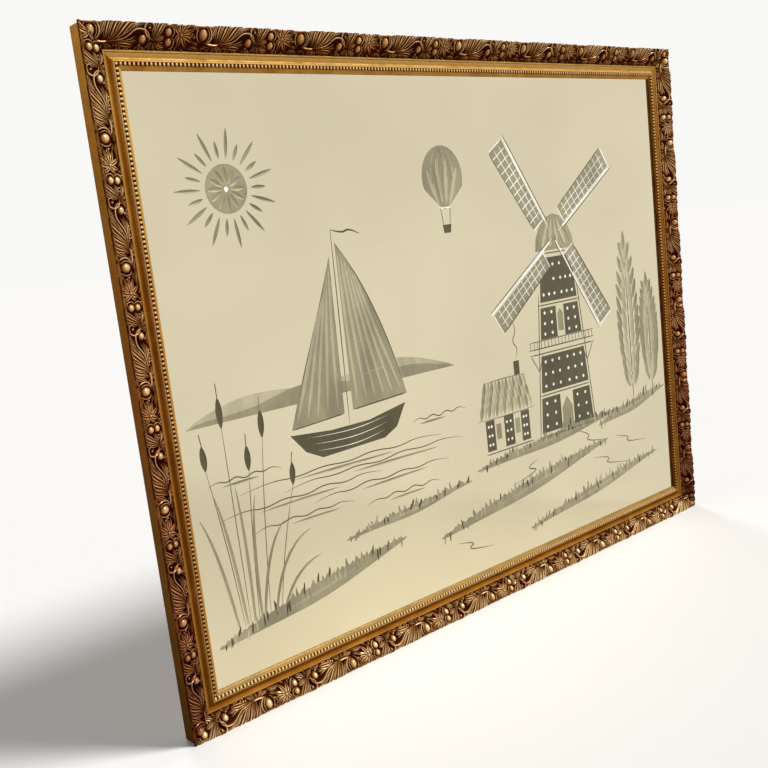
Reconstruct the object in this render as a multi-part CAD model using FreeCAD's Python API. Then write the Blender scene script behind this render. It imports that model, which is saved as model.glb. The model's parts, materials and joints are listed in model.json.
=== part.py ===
import FreeCAD
import Part

import math
import os

# Framed wall mirror with an engraved plate, in millimetres.
# The plate stands upright in the X-Z plane and faces -Y; the wall is the plane y = 0.
# The origin lies on the wall, midway between the two hanging rings.

# Driving sizes
overall_width = 1000.0
overall_height = 762.0
frame_depth = 28.0
moulding_width = 44.0
ring_drop = 200.0

# Moulding section: "in" runs from the outer edge inward, "down" from the front plane rearward
side_recess = 2.5
back_round = 3.0
bed_crown_in_share = 0.516
fillet_width = 1.8
cove_width = 7.9
cove_sag = 2.6
bead_fillet_width = 0.8
groove_width = 4.0
groove_depth = 1.6
lip_width = 4.3
rebate_width = 6.0
rebate_spare = 2.3
# How deep the moulding's edges lie, as shares of the sight edge's depth
side_top_share = 0.43
bed_crown_down_share = 0.63
bed_end_share = 0.97
fillet_share = 0.777
bead_fillet_share = 0.714
lip_start_share = 0.76
lip_end_share = 0.914

# Pressed composition ornament on the outer band
compo_thickness = 2.4
compo_edge_in = 0.8
motif_repeat = 127.4
motif_seam_share = 0.275
motif_sink = 0.7
top_first_berry = 97.5
bottom_first_berry = 99.5
left_first_berry = 110.8
right_first_berry = 106.5

# Plate and what lies behind it
glass_thickness = 4.0
glass_edge_gap = 1.5
packer_length = 40.0
packer_inset = 120.0
cushion_thickness = 1.0
board_thickness = 3.2
board_edge_gap = 1.0

# Steel tabs that hold the board in the rebate
tab_width = 8.0
tab_thickness = 0.8
tab_in_wood = 7.0
tab_on_board = 8.0
tab_end_inset = 70.0
tabs_across_count = 5
tabs_upright_count = 4

# V-shaped nails across each mitre, driven in from the back
nail_leg = 7.0
nail_sheet = 0.6
nail_depth = 10.0
nail_half_angle = 50.0
nail_outer_margin = 5.5
nail_inner_margin = 11.0

# Hanging rings: a folded strap, a D-shaped wire ring and two screws on each upright
ring_wire = 2.6
ring_half_width = 9.0
ring_corner = 3.0
ring_leg = 2.0
ring_play = 0.05
strap_sheet = 1.2
strap_width = 10.0
strap_reach = 24.5
strap_lift = 0.3
hanger_wall_gap = 0.6
screw_first = 7.5
screw_second = 19.5
screw_shank = 3.4
screw_head = 6.6
screw_head_height = 1.9
screw_head_bevel = 0.8
screw_length = 10.0
screw_slot_width = 0.9
screw_slot_depth = 0.7

# Rubber bumpers on the bottom rail
bumper_width = 13.0
bumper_taper = 1.2
bumper_side_inset = 70.0
bumper_pin_width = 1.6
bumper_pin_head = 4.2
bumper_pin_head_height = 0.8
bumper_pin_sunk = 1.6
bumper_pin_in_wood = 9.0

# One overrun serves every cut
overrun = 5.0

# Relief of one repeat, hand-placed: along is a share of the repeat, the rest of the band width.
# A berry is (along, across, radius, height above the ground).
berry_shares = [
    (1.000, 0.340, 0.200, 0.235),
    (0.322, 0.668, 0.160, 0.170),
    (0.317, 0.310, 0.160, 0.180),
    (0.552, 0.610, 0.170, 0.180),
]
berry_sides = 6
berry_girth_share = 0.78
berry_shoulder_share = 0.65
# A lobe is its root, its bends as (along, across, half width, height) and its tip.
lobe_shares = [
    # collar beside the big berry
    ((0.998, 0.620), [(0.945, 0.500, 0.080, 0.180), (0.940, 0.240, 0.080, 0.170)], (0.975, 0.060)),
    # star of narrow pointed leaves
    ((1.212, 0.400), [(1.224, 0.620, 0.095, 0.170)], (1.230, 0.880)),
    ((1.205, 0.400), [(1.178, 0.660, 0.095, 0.170)], (1.148, 0.900)),
    ((1.202, 0.390), [(1.158, 0.500, 0.090, 0.170)], (1.105, 0.660)),
    ((1.202, 0.370), [(1.148, 0.330, 0.090, 0.170)], (1.075, 0.380)),
    ((1.205, 0.350), [(1.153, 0.180, 0.095, 0.170)], (1.080, 0.040)),
    # small acanthus leaf
    ((0.455, 0.680), [(0.412, 0.330, 0.165, 0.225)], (0.322, 0.020)),
    ((0.445, 0.640), [(0.405, 0.560, 0.095, 0.170)], (0.360, 0.450)),
    ((0.450, 0.680), [(0.490, 0.460, 0.120, 0.170)], (0.505, 0.120)),
    # scroll that cradles the berry
    ((0.735, 0.640), [(0.655, 0.370, 0.070, 0.185), (0.578, 0.330, 0.070, 0.185)], (0.515, 0.500)),
    # big acanthus leaf
    ((0.775, 0.660), [(0.700, 0.800, 0.150, 0.180)], (0.635, 0.830)),
    ((0.780, 0.640), [(0.706, 0.330, 0.185, 0.235)], (0.615, 0.010)),
    ((0.820, 0.680), [(0.800, 0.340, 0.175, 0.240)], (0.760, 0.010)),
    ((0.875, 0.680), [(0.860, 0.360, 0.155, 0.235)], (0.820, 0.010)),
    ((0.940, 0.660), [(0.898, 0.480, 0.100, 0.200)], (0.872, 0.180)),
    # small leaf beside the fillet
    ((0.925, 0.900), [(0.880, 0.830, 0.095, 0.130)], (0.815, 0.880)),
]

# Engraved picture, hand-placed: sunk fields whose corners are shares of the sight opening's width
# and height, counted right and up from its middle.
engraving_depth = 0.4
field_shares = [
    # mill tower in bands
    [(0.198, -0.255), (0.148, -0.255), (0.153, -0.178), (0.198, -0.178)],
    [(0.231, -0.255), (0.282, -0.255), (0.277, -0.178), (0.231, -0.178)],
    [(0.154, -0.166), (0.276, -0.166), (0.270, -0.086), (0.160, -0.086)],
    [(0.205, -0.050), (0.163, -0.050), (0.168, 0.018), (0.205, 0.018)],
    [(0.225, -0.050), (0.267, -0.050), (0.262, 0.018), (0.225, 0.018)],
    [(0.169, 0.030), (0.261, 0.030), (0.254, 0.125), (0.176, 0.125)],
    # its cap and sails
    [(0.167, 0.139), (0.263, 0.139), (0.260, 0.166), (0.249, 0.193), (0.231, 0.211), (0.198, 0.211),
     (0.181, 0.193), (0.170, 0.166)],
    [(0.244, 0.199), (0.371, 0.310), (0.352, 0.350), (0.229, 0.228)],
    [(0.191, 0.205), (0.109, 0.377), (0.079, 0.351), (0.169, 0.186)],
    [(0.186, 0.134), (0.059, 0.022), (0.078, -0.018), (0.200, 0.104)],
    [(0.239, 0.127), (0.321, -0.045), (0.351, -0.019), (0.261, 0.146)],
    # cottage roof and walls
    [(0.007, -0.184), (0.129, -0.184), (0.116, -0.113), (0.020, -0.113)],
    [(0.018, -0.255), (0.037, -0.255), (0.037, -0.190), (0.018, -0.190)],
    [(0.059, -0.255), (0.081, -0.255), (0.081, -0.190), (0.059, -0.190)],
    [(0.099, -0.255), (0.118, -0.255), (0.118, -0.190), (0.099, -0.190)],
    # boat's hull, main sail and jib
    [(-0.342, -0.110), (-0.274, -0.119), (-0.208, -0.119), (-0.140, -0.104), (-0.160, -0.145),
     (-0.184, -0.160), (-0.294, -0.163), (-0.320, -0.145)],
    [(-0.235, -0.092), (-0.138, -0.086), (-0.184, 0.104), (-0.217, 0.187), (-0.232, 0.211)],
    [(-0.250, -0.092), (-0.245, 0.175), (-0.287, 0.045), (-0.336, -0.098)],
    # far hills
    [(-0.489, -0.059), (-0.428, -0.024), (-0.390, -0.015), (-0.329, -0.036), (-0.248, -0.009),
     (-0.154, -0.042), (-0.044, -0.059), (-0.274, -0.052)],
    # grassy banks
    [(-0.011, -0.288), (0.082, -0.289), (0.175, -0.283), (0.269, -0.273), (0.362, -0.255),
     (0.269, -0.251), (0.175, -0.257), (0.082, -0.267)],
    [(-0.099, -0.398), (0.005, -0.390), (0.110, -0.372), (0.214, -0.349), (0.318, -0.318),
     (0.214, -0.322), (0.110, -0.340), (0.005, -0.363)],
    [(-0.489, -0.433), (-0.408, -0.429), (-0.327, -0.415), (-0.246, -0.395), (-0.164, -0.365),
     (-0.246, -0.366), (-0.327, -0.380), (-0.408, -0.400)],
    [(0.294, -0.279), (0.344, -0.278), (0.394, -0.269), (0.444, -0.255), (0.493, -0.234),
     (0.444, -0.232), (0.394, -0.242), (0.344, -0.255)],
    [(0.099, -0.454), (0.189, -0.446), (0.280, -0.432), (0.370, -0.414), (0.461, -0.389),
     (0.370, -0.393), (0.280, -0.407), (0.189, -0.426)],
    [(-0.274, -0.329), (-0.211, -0.329), (-0.148, -0.324), (-0.085, -0.316), (-0.022, -0.303),
     (-0.085, -0.299), (-0.148, -0.304), (-0.211, -0.312)],
    # poplars
    [(0.401, -0.223), (0.427, -0.136), (0.423, -0.019), (0.401, 0.142), (0.379, -0.019),
     (0.376, -0.136)],
    [(0.458, -0.214), (0.479, -0.128), (0.476, -0.065), (0.458, 0.042), (0.441, -0.065),
     (0.438, -0.128)],
    # sun
    [(-0.356, 0.318), (-0.362, 0.341), (-0.377, 0.356), (-0.395, 0.356), (-0.410, 0.341),
     (-0.416, 0.318), (-0.410, 0.294), (-0.395, 0.279), (-0.377, 0.279), (-0.362, 0.294)],
]

os.makedirs("parts", exist_ok=True)

# Places that follow from the sizes
eye_bore = ring_wire / 2 + ring_play
eye_outer = eye_bore + strap_sheet
wall_gap = strap_sheet + strap_lift + eye_bore + eye_outer + hanger_wall_gap
front_y = -(frame_depth + wall_gap)
back_y = -wall_gap
top_z = ring_drop
bottom_z = ring_drop - overall_height
left_x = -overall_width / 2
right_x = overall_width / 2
band_width = moulding_width - (fillet_width + cove_width + bead_fillet_width + groove_width + lip_width)
bed_crown_in = bed_crown_in_share * band_width
fillet_end = band_width + fillet_width
cove_end = fillet_end + cove_width
groove_start = cove_end + bead_fillet_width
groove_end = groove_start + groove_width
rebate_in = moulding_width - rebate_width
back_corner_in = side_recess + back_round
back_middle_in = (back_corner_in + rebate_in) / 2
rebate_depth = glass_thickness + cushion_thickness + board_thickness + rebate_spare
sight_down = frame_depth - rebate_depth
side_top_down = side_top_share * sight_down
bed_crown_down = bed_crown_down_share * sight_down
bed_end_down = bed_end_share * sight_down
fillet_down = fillet_share * sight_down
bead_fillet_down = bead_fillet_share * sight_down
lip_start_down = lip_start_share * sight_down
lip_end_down = lip_end_share * sight_down
groove_down = bead_fillet_down + groove_depth
glass_back_down = sight_down + glass_thickness
cushion_back_down = glass_back_down + cushion_thickness
board_back_down = cushion_back_down + board_thickness

# Each rail is drawn lying along +X with "in" along +Z, then turned about Y into its place:
# name: (length, turn in degrees, corner where it starts, distance to the first big berry)
rails = {
    "bottom": (overall_width, 0, (left_x, bottom_z), bottom_first_berry),
    "right": (overall_height, -90, (right_x, bottom_z), right_first_berry),
    "top": (overall_width, 180, (right_x, top_z), top_first_berry),
    "left": (overall_height, 90, (left_x, top_z), left_first_berry),
}


def at(along, inward, down):
    """A point of a rail before it is turned into place."""
    return FreeCAD.Vector(along, down, inward)


def set_in_place(shape, rail):
    """Turn a shape drawn along +X into the place of the named rail."""
    length, turn, corner, first_berry = rails[rail]
    placed = shape.copy()
    placed.rotate(FreeCAD.Vector(0, 0, 0), FreeCAD.Vector(0, 1, 0), turn)
    placed.translate(FreeCAD.Vector(corner[0], front_y, corner[1]))
    return placed


def closed_face(edges):
    """A flat face from edges given in order."""
    return Part.Face(Part.Wire(edges))


def line(first, second):
    return Part.LineSegment(first, second).toShape()


def arc(first, middle, last):
    return Part.Arc(first, middle, last).toShape()


def polygon_prism(points, direction):
    """Extrude a closed outline of points along a direction."""
    return Part.Face(Part.makePolygon(points + [points[0]])).extrude(direction)


def block(low, high):
    """An upright box between two corners."""
    size = high - low
    return Part.makeBox(size.x, size.y, size.z, low)


def mitred(shape, length):
    """Cut a rail's shape at 45 degrees at both ends."""
    reach = moulding_width + overrun
    outline = [at(0, 0, -overrun), at(length, 0, -overrun), at(length - reach, reach, -overrun),
               at(reach, reach, -overrun)]
    wedge = polygon_prism(outline, FreeCAD.Vector(0, frame_depth + 2 * overrun, 0))
    return shape.common(wedge)


def moulding_section():
    """Section of the wooden moulding: bed, fillet, cove, groove, lip and rebate."""
    cove_middle = at(0, (fillet_end + cove_end) / 2, (fillet_down + bead_fillet_down) / 2 + cove_sag)
    slant = back_round * math.sqrt(0.5)
    round_middle = at(0, back_corner_in - slant, frame_depth - back_round + slant)
    face_points = [
        at(0, side_recess, side_top_down),
        at(0, bed_crown_in, bed_crown_down),
        at(0, band_width, bed_end_down),
        at(0, band_width, fillet_down),
        at(0, fillet_end, fillet_down),
    ]
    inner_points = [
        at(0, cove_end, bead_fillet_down),
        at(0, groove_start, bead_fillet_down),
        at(0, groove_start, groove_down),
        at(0, groove_end, groove_down),
        at(0, groove_end, lip_start_down),
        at(0, moulding_width, lip_end_down),
        at(0, moulding_width, sight_down),
        at(0, rebate_in, sight_down),
        at(0, rebate_in, frame_depth),
        at(0, back_corner_in, frame_depth),
    ]
    side_foot = at(0, side_recess, frame_depth - back_round)
    edges = [line(a, b) for a, b in zip(face_points, face_points[1:])]
    edges.append(arc(face_points[-1], cove_middle, inner_points[0]))
    edges += [line(a, b) for a, b in zip(inner_points, inner_points[1:])]
    edges.append(arc(inner_points[-1], round_middle, side_foot))
    edges.append(line(side_foot, face_points[0]))
    return closed_face(edges)


def pearl_section():
    """Half-round section of the pearl strip that sits in the groove."""
    crest = at(0, (groove_start + groove_end) / 2, groove_down - groove_width / 2)
    start = at(0, groove_start, groove_down)
    end = at(0, groove_end, groove_down)
    return closed_face([arc(start, crest, end), line(end, start)])


def compo_ground_down(inward):
    """Depth of the ornament's ground below the front plane at a distance from the outer edge."""
    if inward <= side_recess:
        bed = side_top_down
    elif inward <= bed_crown_in:
        run = (inward - side_recess) / (bed_crown_in - side_recess)
        bed = side_top_down + run * (bed_crown_down - side_top_down)
    else:
        run = (inward - bed_crown_in) / (band_width - bed_crown_in)
        bed = bed_crown_down + run * (bed_end_down - bed_crown_down)
    return bed - compo_thickness


def compo_section(along):
    """Section of the ornament's strip, which laps over the moulding's outer edge."""
    return [
        at(along, compo_edge_in, side_top_down),
        at(along, compo_edge_in, compo_ground_down(compo_edge_in)),
        at(along, side_recess, compo_ground_down(side_recess)),
        at(along, bed_crown_in, compo_ground_down(bed_crown_in)),
        at(along, band_width, compo_ground_down(band_width)),
        at(along, band_width, bed_end_down),
        at(along, bed_crown_in, bed_crown_down),
        at(along, side_recess, side_top_down),
    ]


def relief_point(along_share, across_share, height):
    """A point of the relief: height is measured forward from the ornament's ground."""
    inward = across_share * band_width
    return at(along_share * motif_repeat, inward, compo_ground_down(inward) - height)


def closed_solid(triangles):
    """A solid from triangles that close round it."""
    faces = [Part.Face(Part.makePolygon([a, b, c, a])) for a, b, c in triangles]
    solid = Part.Solid(Part.Shell(faces))
    if solid.Volume < 0:
        solid.reverse()
    return solid


def lobe(root, bends, tip):
    """A leaf lobe or scroll: a crest between two flanks, pointed at both ends."""
    path = [root] + [bend[:2] for bend in bends] + [tip]
    first = relief_point(root[0], root[1], -motif_sink)
    last = relief_point(tip[0], tip[1], -motif_sink)
    rings = []
    for number, (along, across, half_width, height) in enumerate(bends):
        before = path[number]
        after = path[number + 2]
        run = (after[0] - before[0]) * motif_repeat
        rise = (after[1] - before[1]) * band_width
        spread = half_width * band_width / math.hypot(run, rise)
        aside_along = -rise * spread / motif_repeat
        aside_across = run * spread / band_width
        rings.append([
            relief_point(along - aside_along, across - aside_across, -motif_sink),
            relief_point(along, across, height * band_width),
            relief_point(along + aside_along, across + aside_across, -motif_sink),
        ])
    triangles = []
    for k in range(3):
        after = (k + 1) % 3
        triangles.append((first, rings[0][k], rings[0][after]))
        for ring, following in zip(rings, rings[1:]):
            triangles.append((ring[k], following[k], ring[after]))
            triangles.append((ring[after], following[k], following[after]))
        triangles.append((rings[-1][k], last, rings[-1][after]))
    return closed_solid(triangles)


def berry(along, across, radius, height):
    """A domed berry in flat facets, its foot buried in the ground."""
    crown = relief_point(along, across, height * band_width)
    foot = relief_point(along, across, -motif_sink)
    rings = []
    for spread, rise in ((1, -motif_sink), (berry_girth_share, berry_shoulder_share * height * band_width)):
        ring = []
        for k in range(berry_sides):
            turn = math.tau * k / berry_sides
            reach = spread * radius
            ring.append(relief_point(along + reach * math.cos(turn) * band_width / motif_repeat,
                                     across + reach * math.sin(turn), rise))
        rings.append(ring)
    triangles = []
    for k in range(berry_sides):
        after = (k + 1) % berry_sides
        triangles.append((foot, rings[0][after], rings[0][k]))
        triangles.append((rings[0][k], rings[0][after], rings[1][k]))
        triangles.append((rings[0][after], rings[1][after], rings[1][k]))
        triangles.append((crown, rings[1][k], rings[1][after]))
    return closed_solid(triangles)


def ornament_length():
    """One pressed length of ornament: the strip with its leaves, berries and scrolls."""
    strip = polygon_prism(compo_section(0), FreeCAD.Vector(motif_repeat, 0, 0))
    motifs = [lobe(*shares) for shares in lobe_shares]
    motifs += [berry(*shares) for shares in berry_shares]
    to_seam = FreeCAD.Vector(-motif_seam_share * motif_repeat, 0, 0)
    for motif in motifs:
        motif.translate(to_seam)
    return strip.fuse(motifs)


def ornament_run(length, first_berry, pressing):
    """Pressings laid end to end along a rail and cut to its mitres."""
    joint = first_berry + (motif_seam_share - 1) * motif_repeat
    while joint > 0:
        joint -= motif_repeat
    pieces = []
    while joint < length:
        piece = pressing.copy()
        piece.translate(FreeCAD.Vector(joint, 0, 0))
        if joint < band_width or joint + motif_repeat > length - band_width:
            piece = mitred(piece, length)
        pieces += piece.Solids
        joint += motif_repeat
    return pieces


def nail(distance_in):
    """A V-nail at the mitre that starts at the origin, its point towards the outer corner."""
    out = FreeCAD.Vector(-math.sqrt(0.5), 0, -math.sqrt(0.5))
    tip = at(distance_in, distance_in, frame_depth - nail_depth)
    outline = []
    inner = []
    for sign in (-1, 0, 1):
        turn = sign * math.radians(nail_half_angle)
        leg = FreeCAD.Vector(-out.x * math.cos(turn) - out.z * math.sin(turn), 0,
                             -out.z * math.cos(turn) + out.x * math.sin(turn))
        outline.append(tip + leg * nail_leg if sign else tip)
        inner.append(outline[-1] - out * nail_sheet)
    return polygon_prism(outline + inner[::-1], FreeCAD.Vector(0, nail_depth, 0))


def tab_places(length, count):
    """Where the tabs' middles lie along a rail."""
    step = (length - 2 * tab_end_inset) / (count - 1)
    return [tab_end_inset + step * k for k in range(count)]


def tab(middle):
    """A flat steel tab, half in the rebate's wall and half on the board."""
    low = at(middle - tab_width / 2, rebate_in - tab_in_wood, board_back_down)
    high = at(middle + tab_width / 2, rebate_in + tab_on_board, board_back_down + tab_thickness)
    return block(low, high)


def sheet(edge_gap, front_down, back_down):
    """A flat sheet in the rebate with a gap round its edges."""
    inset = rebate_in + edge_gap
    low = FreeCAD.Vector(left_x + inset, front_y + front_down, bottom_z + inset)
    high = FreeCAD.Vector(right_x - inset, front_y + back_down, top_z - inset)
    return block(low, high)


def engraving():
    """The picture's fields as prisms that reach into the plate's face."""
    opening_width = overall_width - 2 * moulding_width
    opening_height = overall_height - 2 * moulding_width
    middle_z = (top_z + bottom_z) / 2
    start_y = front_y + sight_down - overrun
    inward = FreeCAD.Vector(0, overrun + engraving_depth, 0)
    fields = []
    for outline in field_shares:
        corners = [FreeCAD.Vector(across * opening_width, start_y, middle_z + up * opening_height)
                   for across, up in outline]
        fields.append(polygon_prism(corners, inward))
    return fields


def packers():
    """Cork slips between the plate's edge and the rebate, two on each rail."""
    slips = []
    for rail, (length, turn, corner, first_berry) in rails.items():
        for start in (packer_inset, length - packer_inset - packer_length):
            low = at(start, rebate_in, sight_down)
            high = at(start + packer_length, rebate_in + glass_edge_gap, glass_back_down)
            slips.append(set_in_place(block(low, high), rail))
    return slips


# The hangers are drawn for the left upright, across its back, and mirrored for the right one.
ring_axis_x = left_x + back_middle_in + (strap_reach - eye_outer) / 2
ring_axis_y = back_y + strap_sheet + strap_lift + eye_bore


def ring_path():
    """Middle line of the D-shaped ring, its bar on the pivot and its bow towards +X."""
    bar_end = ring_half_width - ring_corner
    bow_start = ring_corner + ring_leg
    slant = ring_corner * (1 - math.sqrt(0.5))

    def spot(out, side):
        return FreeCAD.Vector(ring_axis_x + out, ring_axis_y, side)

    return Part.Wire([
        line(spot(0, -bar_end), spot(0, bar_end)),
        arc(spot(0, bar_end), spot(slant, ring_half_width - slant), spot(ring_corner, ring_half_width)),
        line(spot(ring_corner, ring_half_width), spot(bow_start, ring_half_width)),
        arc(spot(bow_start, ring_half_width), spot(bow_start + ring_half_width, 0),
            spot(bow_start, -ring_half_width)),
        line(spot(bow_start, -ring_half_width), spot(ring_corner, -ring_half_width)),
        arc(spot(ring_corner, -ring_half_width), spot(slant, slant - ring_half_width), spot(0, -bar_end)),
    ])


def d_ring():
    """The wire ring, swept once round its path."""
    start = FreeCAD.Vector(ring_axis_x, ring_axis_y, 0)
    section = Part.Wire(Part.makeCircle(ring_wire / 2, start, FreeCAD.Vector(0, 0, 1)))
    return ring_path().makePipeShell([section], True, False)


def screw_axes():
    """Middles of the two screws on the strap, at the frame's back."""
    return [FreeCAD.Vector(ring_axis_x - reach, back_y, 0) for reach in (screw_first, screw_second)]


def strap():
    """Steel strap folded round the ring's bar, with a rounded end and two holes."""
    half = strap_width / 2
    end_middle = ring_axis_x - strap_reach + half
    plate = block(FreeCAD.Vector(end_middle, back_y, -half),
                  FreeCAD.Vector(ring_axis_x, back_y + strap_sheet + strap_lift, half))
    step = block(FreeCAD.Vector(end_middle, back_y + strap_sheet, -half),
                 FreeCAD.Vector(ring_axis_x - eye_outer, back_y + strap_sheet + strap_lift, half))
    rounded = Part.makeCylinder(half, strap_sheet, FreeCAD.Vector(end_middle, back_y, 0),
                                FreeCAD.Vector(0, 1, 0))
    eye = Part.makeCylinder(eye_outer, strap_width, FreeCAD.Vector(ring_axis_x, ring_axis_y, -half),
                            FreeCAD.Vector(0, 0, 1))
    bore = Part.makeCylinder(eye_bore, strap_width + 2 * overrun,
                             FreeCAD.Vector(ring_axis_x, ring_axis_y, -half - overrun),
                             FreeCAD.Vector(0, 0, 1))
    below = block(FreeCAD.Vector(ring_axis_x - eye_outer, back_y - overrun, -half - overrun),
                  FreeCAD.Vector(ring_axis_x + eye_outer, back_y, half + overrun))
    body = plate.cut(step).fuse([rounded, eye]).cut([bore, below])
    for middle in screw_axes():
        body = body.cut(Part.makeCylinder(screw_shank / 2, strap_sheet + 2 * overrun,
                                          middle - FreeCAD.Vector(0, overrun, 0),
                                          FreeCAD.Vector(0, 1, 0)))
    return body.removeSplitter()


def strap_screws():
    """Pan-headed, slotted wood screws through the strap."""
    back = FreeCAD.Vector(0, 1, 0)
    rim_height = screw_head_height - screw_head_bevel
    screws = []
    for middle in screw_axes():
        seat = middle + back * strap_sheet
        shank = Part.makeCylinder(screw_shank / 2, screw_length + strap_sheet,
                                  middle - back * screw_length, back)
        rim = Part.makeCylinder(screw_head / 2, rim_height, seat, back)
        crown = Part.makeCone(screw_head / 2, screw_head / 2 - screw_head_bevel, screw_head_bevel,
                              seat + back * rim_height, back)
        slot_floor_y = seat.y + screw_head_height - screw_slot_depth
        slot = block(FreeCAD.Vector(middle.x - screw_head, slot_floor_y, -screw_slot_width / 2),
                     FreeCAD.Vector(middle.x + screw_head, slot_floor_y + overrun, screw_slot_width / 2))
        screws.append(shank.fuse([rim, crown]).cut(slot))
    return screws


def mirrored(shape):
    """The same piece on the other upright."""
    return shape.mirror(FreeCAD.Vector(0, 0, 0), FreeCAD.Vector(1, 0, 0))


def bumper(x):
    """Tapered rubber bumper, sunk round its pin's head."""
    middle = FreeCAD.Vector(x, back_y, bottom_z + back_middle_in)
    back = FreeCAD.Vector(0, 1, 0)
    body = Part.makeCone(bumper_width / 2, bumper_width / 2 - bumper_taper, wall_gap, middle, back)
    bore = Part.makeCylinder(bumper_pin_width / 2, wall_gap, middle, back)
    head_y = back_y + wall_gap - bumper_pin_sunk - bumper_pin_head_height
    pocket = Part.makeCylinder(bumper_pin_head / 2, wall_gap,
                               FreeCAD.Vector(x, head_y, middle.z), back)
    return body.cut([bore, pocket])


def bumper_pin(x):
    """Flat-headed pin that holds a bumper to the bottom rail."""
    back = FreeCAD.Vector(0, 1, 0)
    head_y = back_y + wall_gap - bumper_pin_sunk - bumper_pin_head_height
    start = FreeCAD.Vector(x, back_y - bumper_pin_in_wood, bottom_z + back_middle_in)
    shank = Part.makeCylinder(bumper_pin_width / 2, head_y - start.y, start, back)
    head = Part.makeCylinder(bumper_pin_head / 2, bumper_pin_head_height,
                             FreeCAD.Vector(x, head_y, start.z), back)
    return shank.fuse(head)


def build_nails():
    """Two V-nails at every corner; a corner takes the name of the rail that starts there."""
    corner_names = {"bottom": "bottom_left", "right": "bottom_right", "top": "top_right", "left": "top_left"}
    pair = [nail(back_corner_in + nail_outer_margin), nail(rebate_in - nail_inner_margin)]
    return {corner_names[rail]: [set_in_place(piece, rail) for piece in pair] for rail in rails}


def build_tabs():
    """The board's tabs, as a list for each rail."""
    counts = {"bottom": tabs_across_count, "top": tabs_across_count,
              "left": tabs_upright_count, "right": tabs_upright_count}
    tabs = {}
    for rail, count in counts.items():
        tabs[rail] = [set_in_place(tab(middle), rail) for middle in tab_places(rails[rail][0], count)]
    return tabs


def rail_body(rail, fixings):
    """One mitred rail with the seats of its nails, tabs, screws and pins cut in it."""
    length = rails[rail][0]
    body = mitred(moulding_section().extrude(FreeCAD.Vector(length, 0, 0)), length)
    return set_in_place(body, rail).cut(fixings)


def save(name, solids):
    """Write one piece, or a group of like pieces, to its own file."""
    shape = solids[0] if len(solids) == 1 else Part.makeCompound(solids)
    shape.exportStep("parts/" + name + ".step")


def main():
    nails = build_nails()
    tabs = build_tabs()
    screws = {"left": strap_screws()}
    screws["right"] = [mirrored(screw) for screw in screws["left"]]
    bumper_places = {"left": left_x + bumper_side_inset, "right": right_x - bumper_side_inset}
    pins = {side: bumper_pin(x) for side, x in bumper_places.items()}
    pressing = ornament_length()
    for rail, (length, turn, corner, first_berry) in rails.items():
        fixings = sum(nails.values(), []) + tabs[rail] + screws.get(rail, [])
        if rail == "bottom":
            fixings += list(pins.values())
        save("rail_" + rail, [rail_body(rail, fixings)])
        run = ornament_run(length, first_berry, pressing)
        save("ornament_" + rail, [set_in_place(piece, rail) for piece in run])
        pearls = mitred(pearl_section().extrude(FreeCAD.Vector(length, 0, 0)), length)
        save("pearl_strip_" + rail, [set_in_place(pearls, rail)])
        save("board_tabs_" + rail, tabs[rail])
    for corner, pair in nails.items():
        save("mitre_nails_" + corner, pair)
    plate = sheet(glass_edge_gap, sight_down, glass_back_down)
    save("mirror_glass", [plate.cut(engraving()).removeSplitter()])
    save("glass_packers", packers())
    save("cushion_sheet", [sheet(glass_edge_gap, glass_back_down, cushion_back_down)])
    save("backing_board", [sheet(board_edge_gap, cushion_back_down, board_back_down)])
    left_strap = strap()
    left_ring = d_ring()
    save("hanger_strap_left", [left_strap])
    save("hanger_strap_right", [mirrored(left_strap)])
    save("d_ring_left", [left_ring])
    save("d_ring_right", [mirrored(left_ring)])
    for side in ("left", "right"):
        save("hanger_screws_" + side, screws[side])
        save("wall_bumper_" + side, [bumper(bumper_places[side])])
        save("bumper_pin_" + side, [pins[side]])


main()
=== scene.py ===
import json
import math
import random

import bpy
from mathutils import Matrix, Vector

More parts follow.
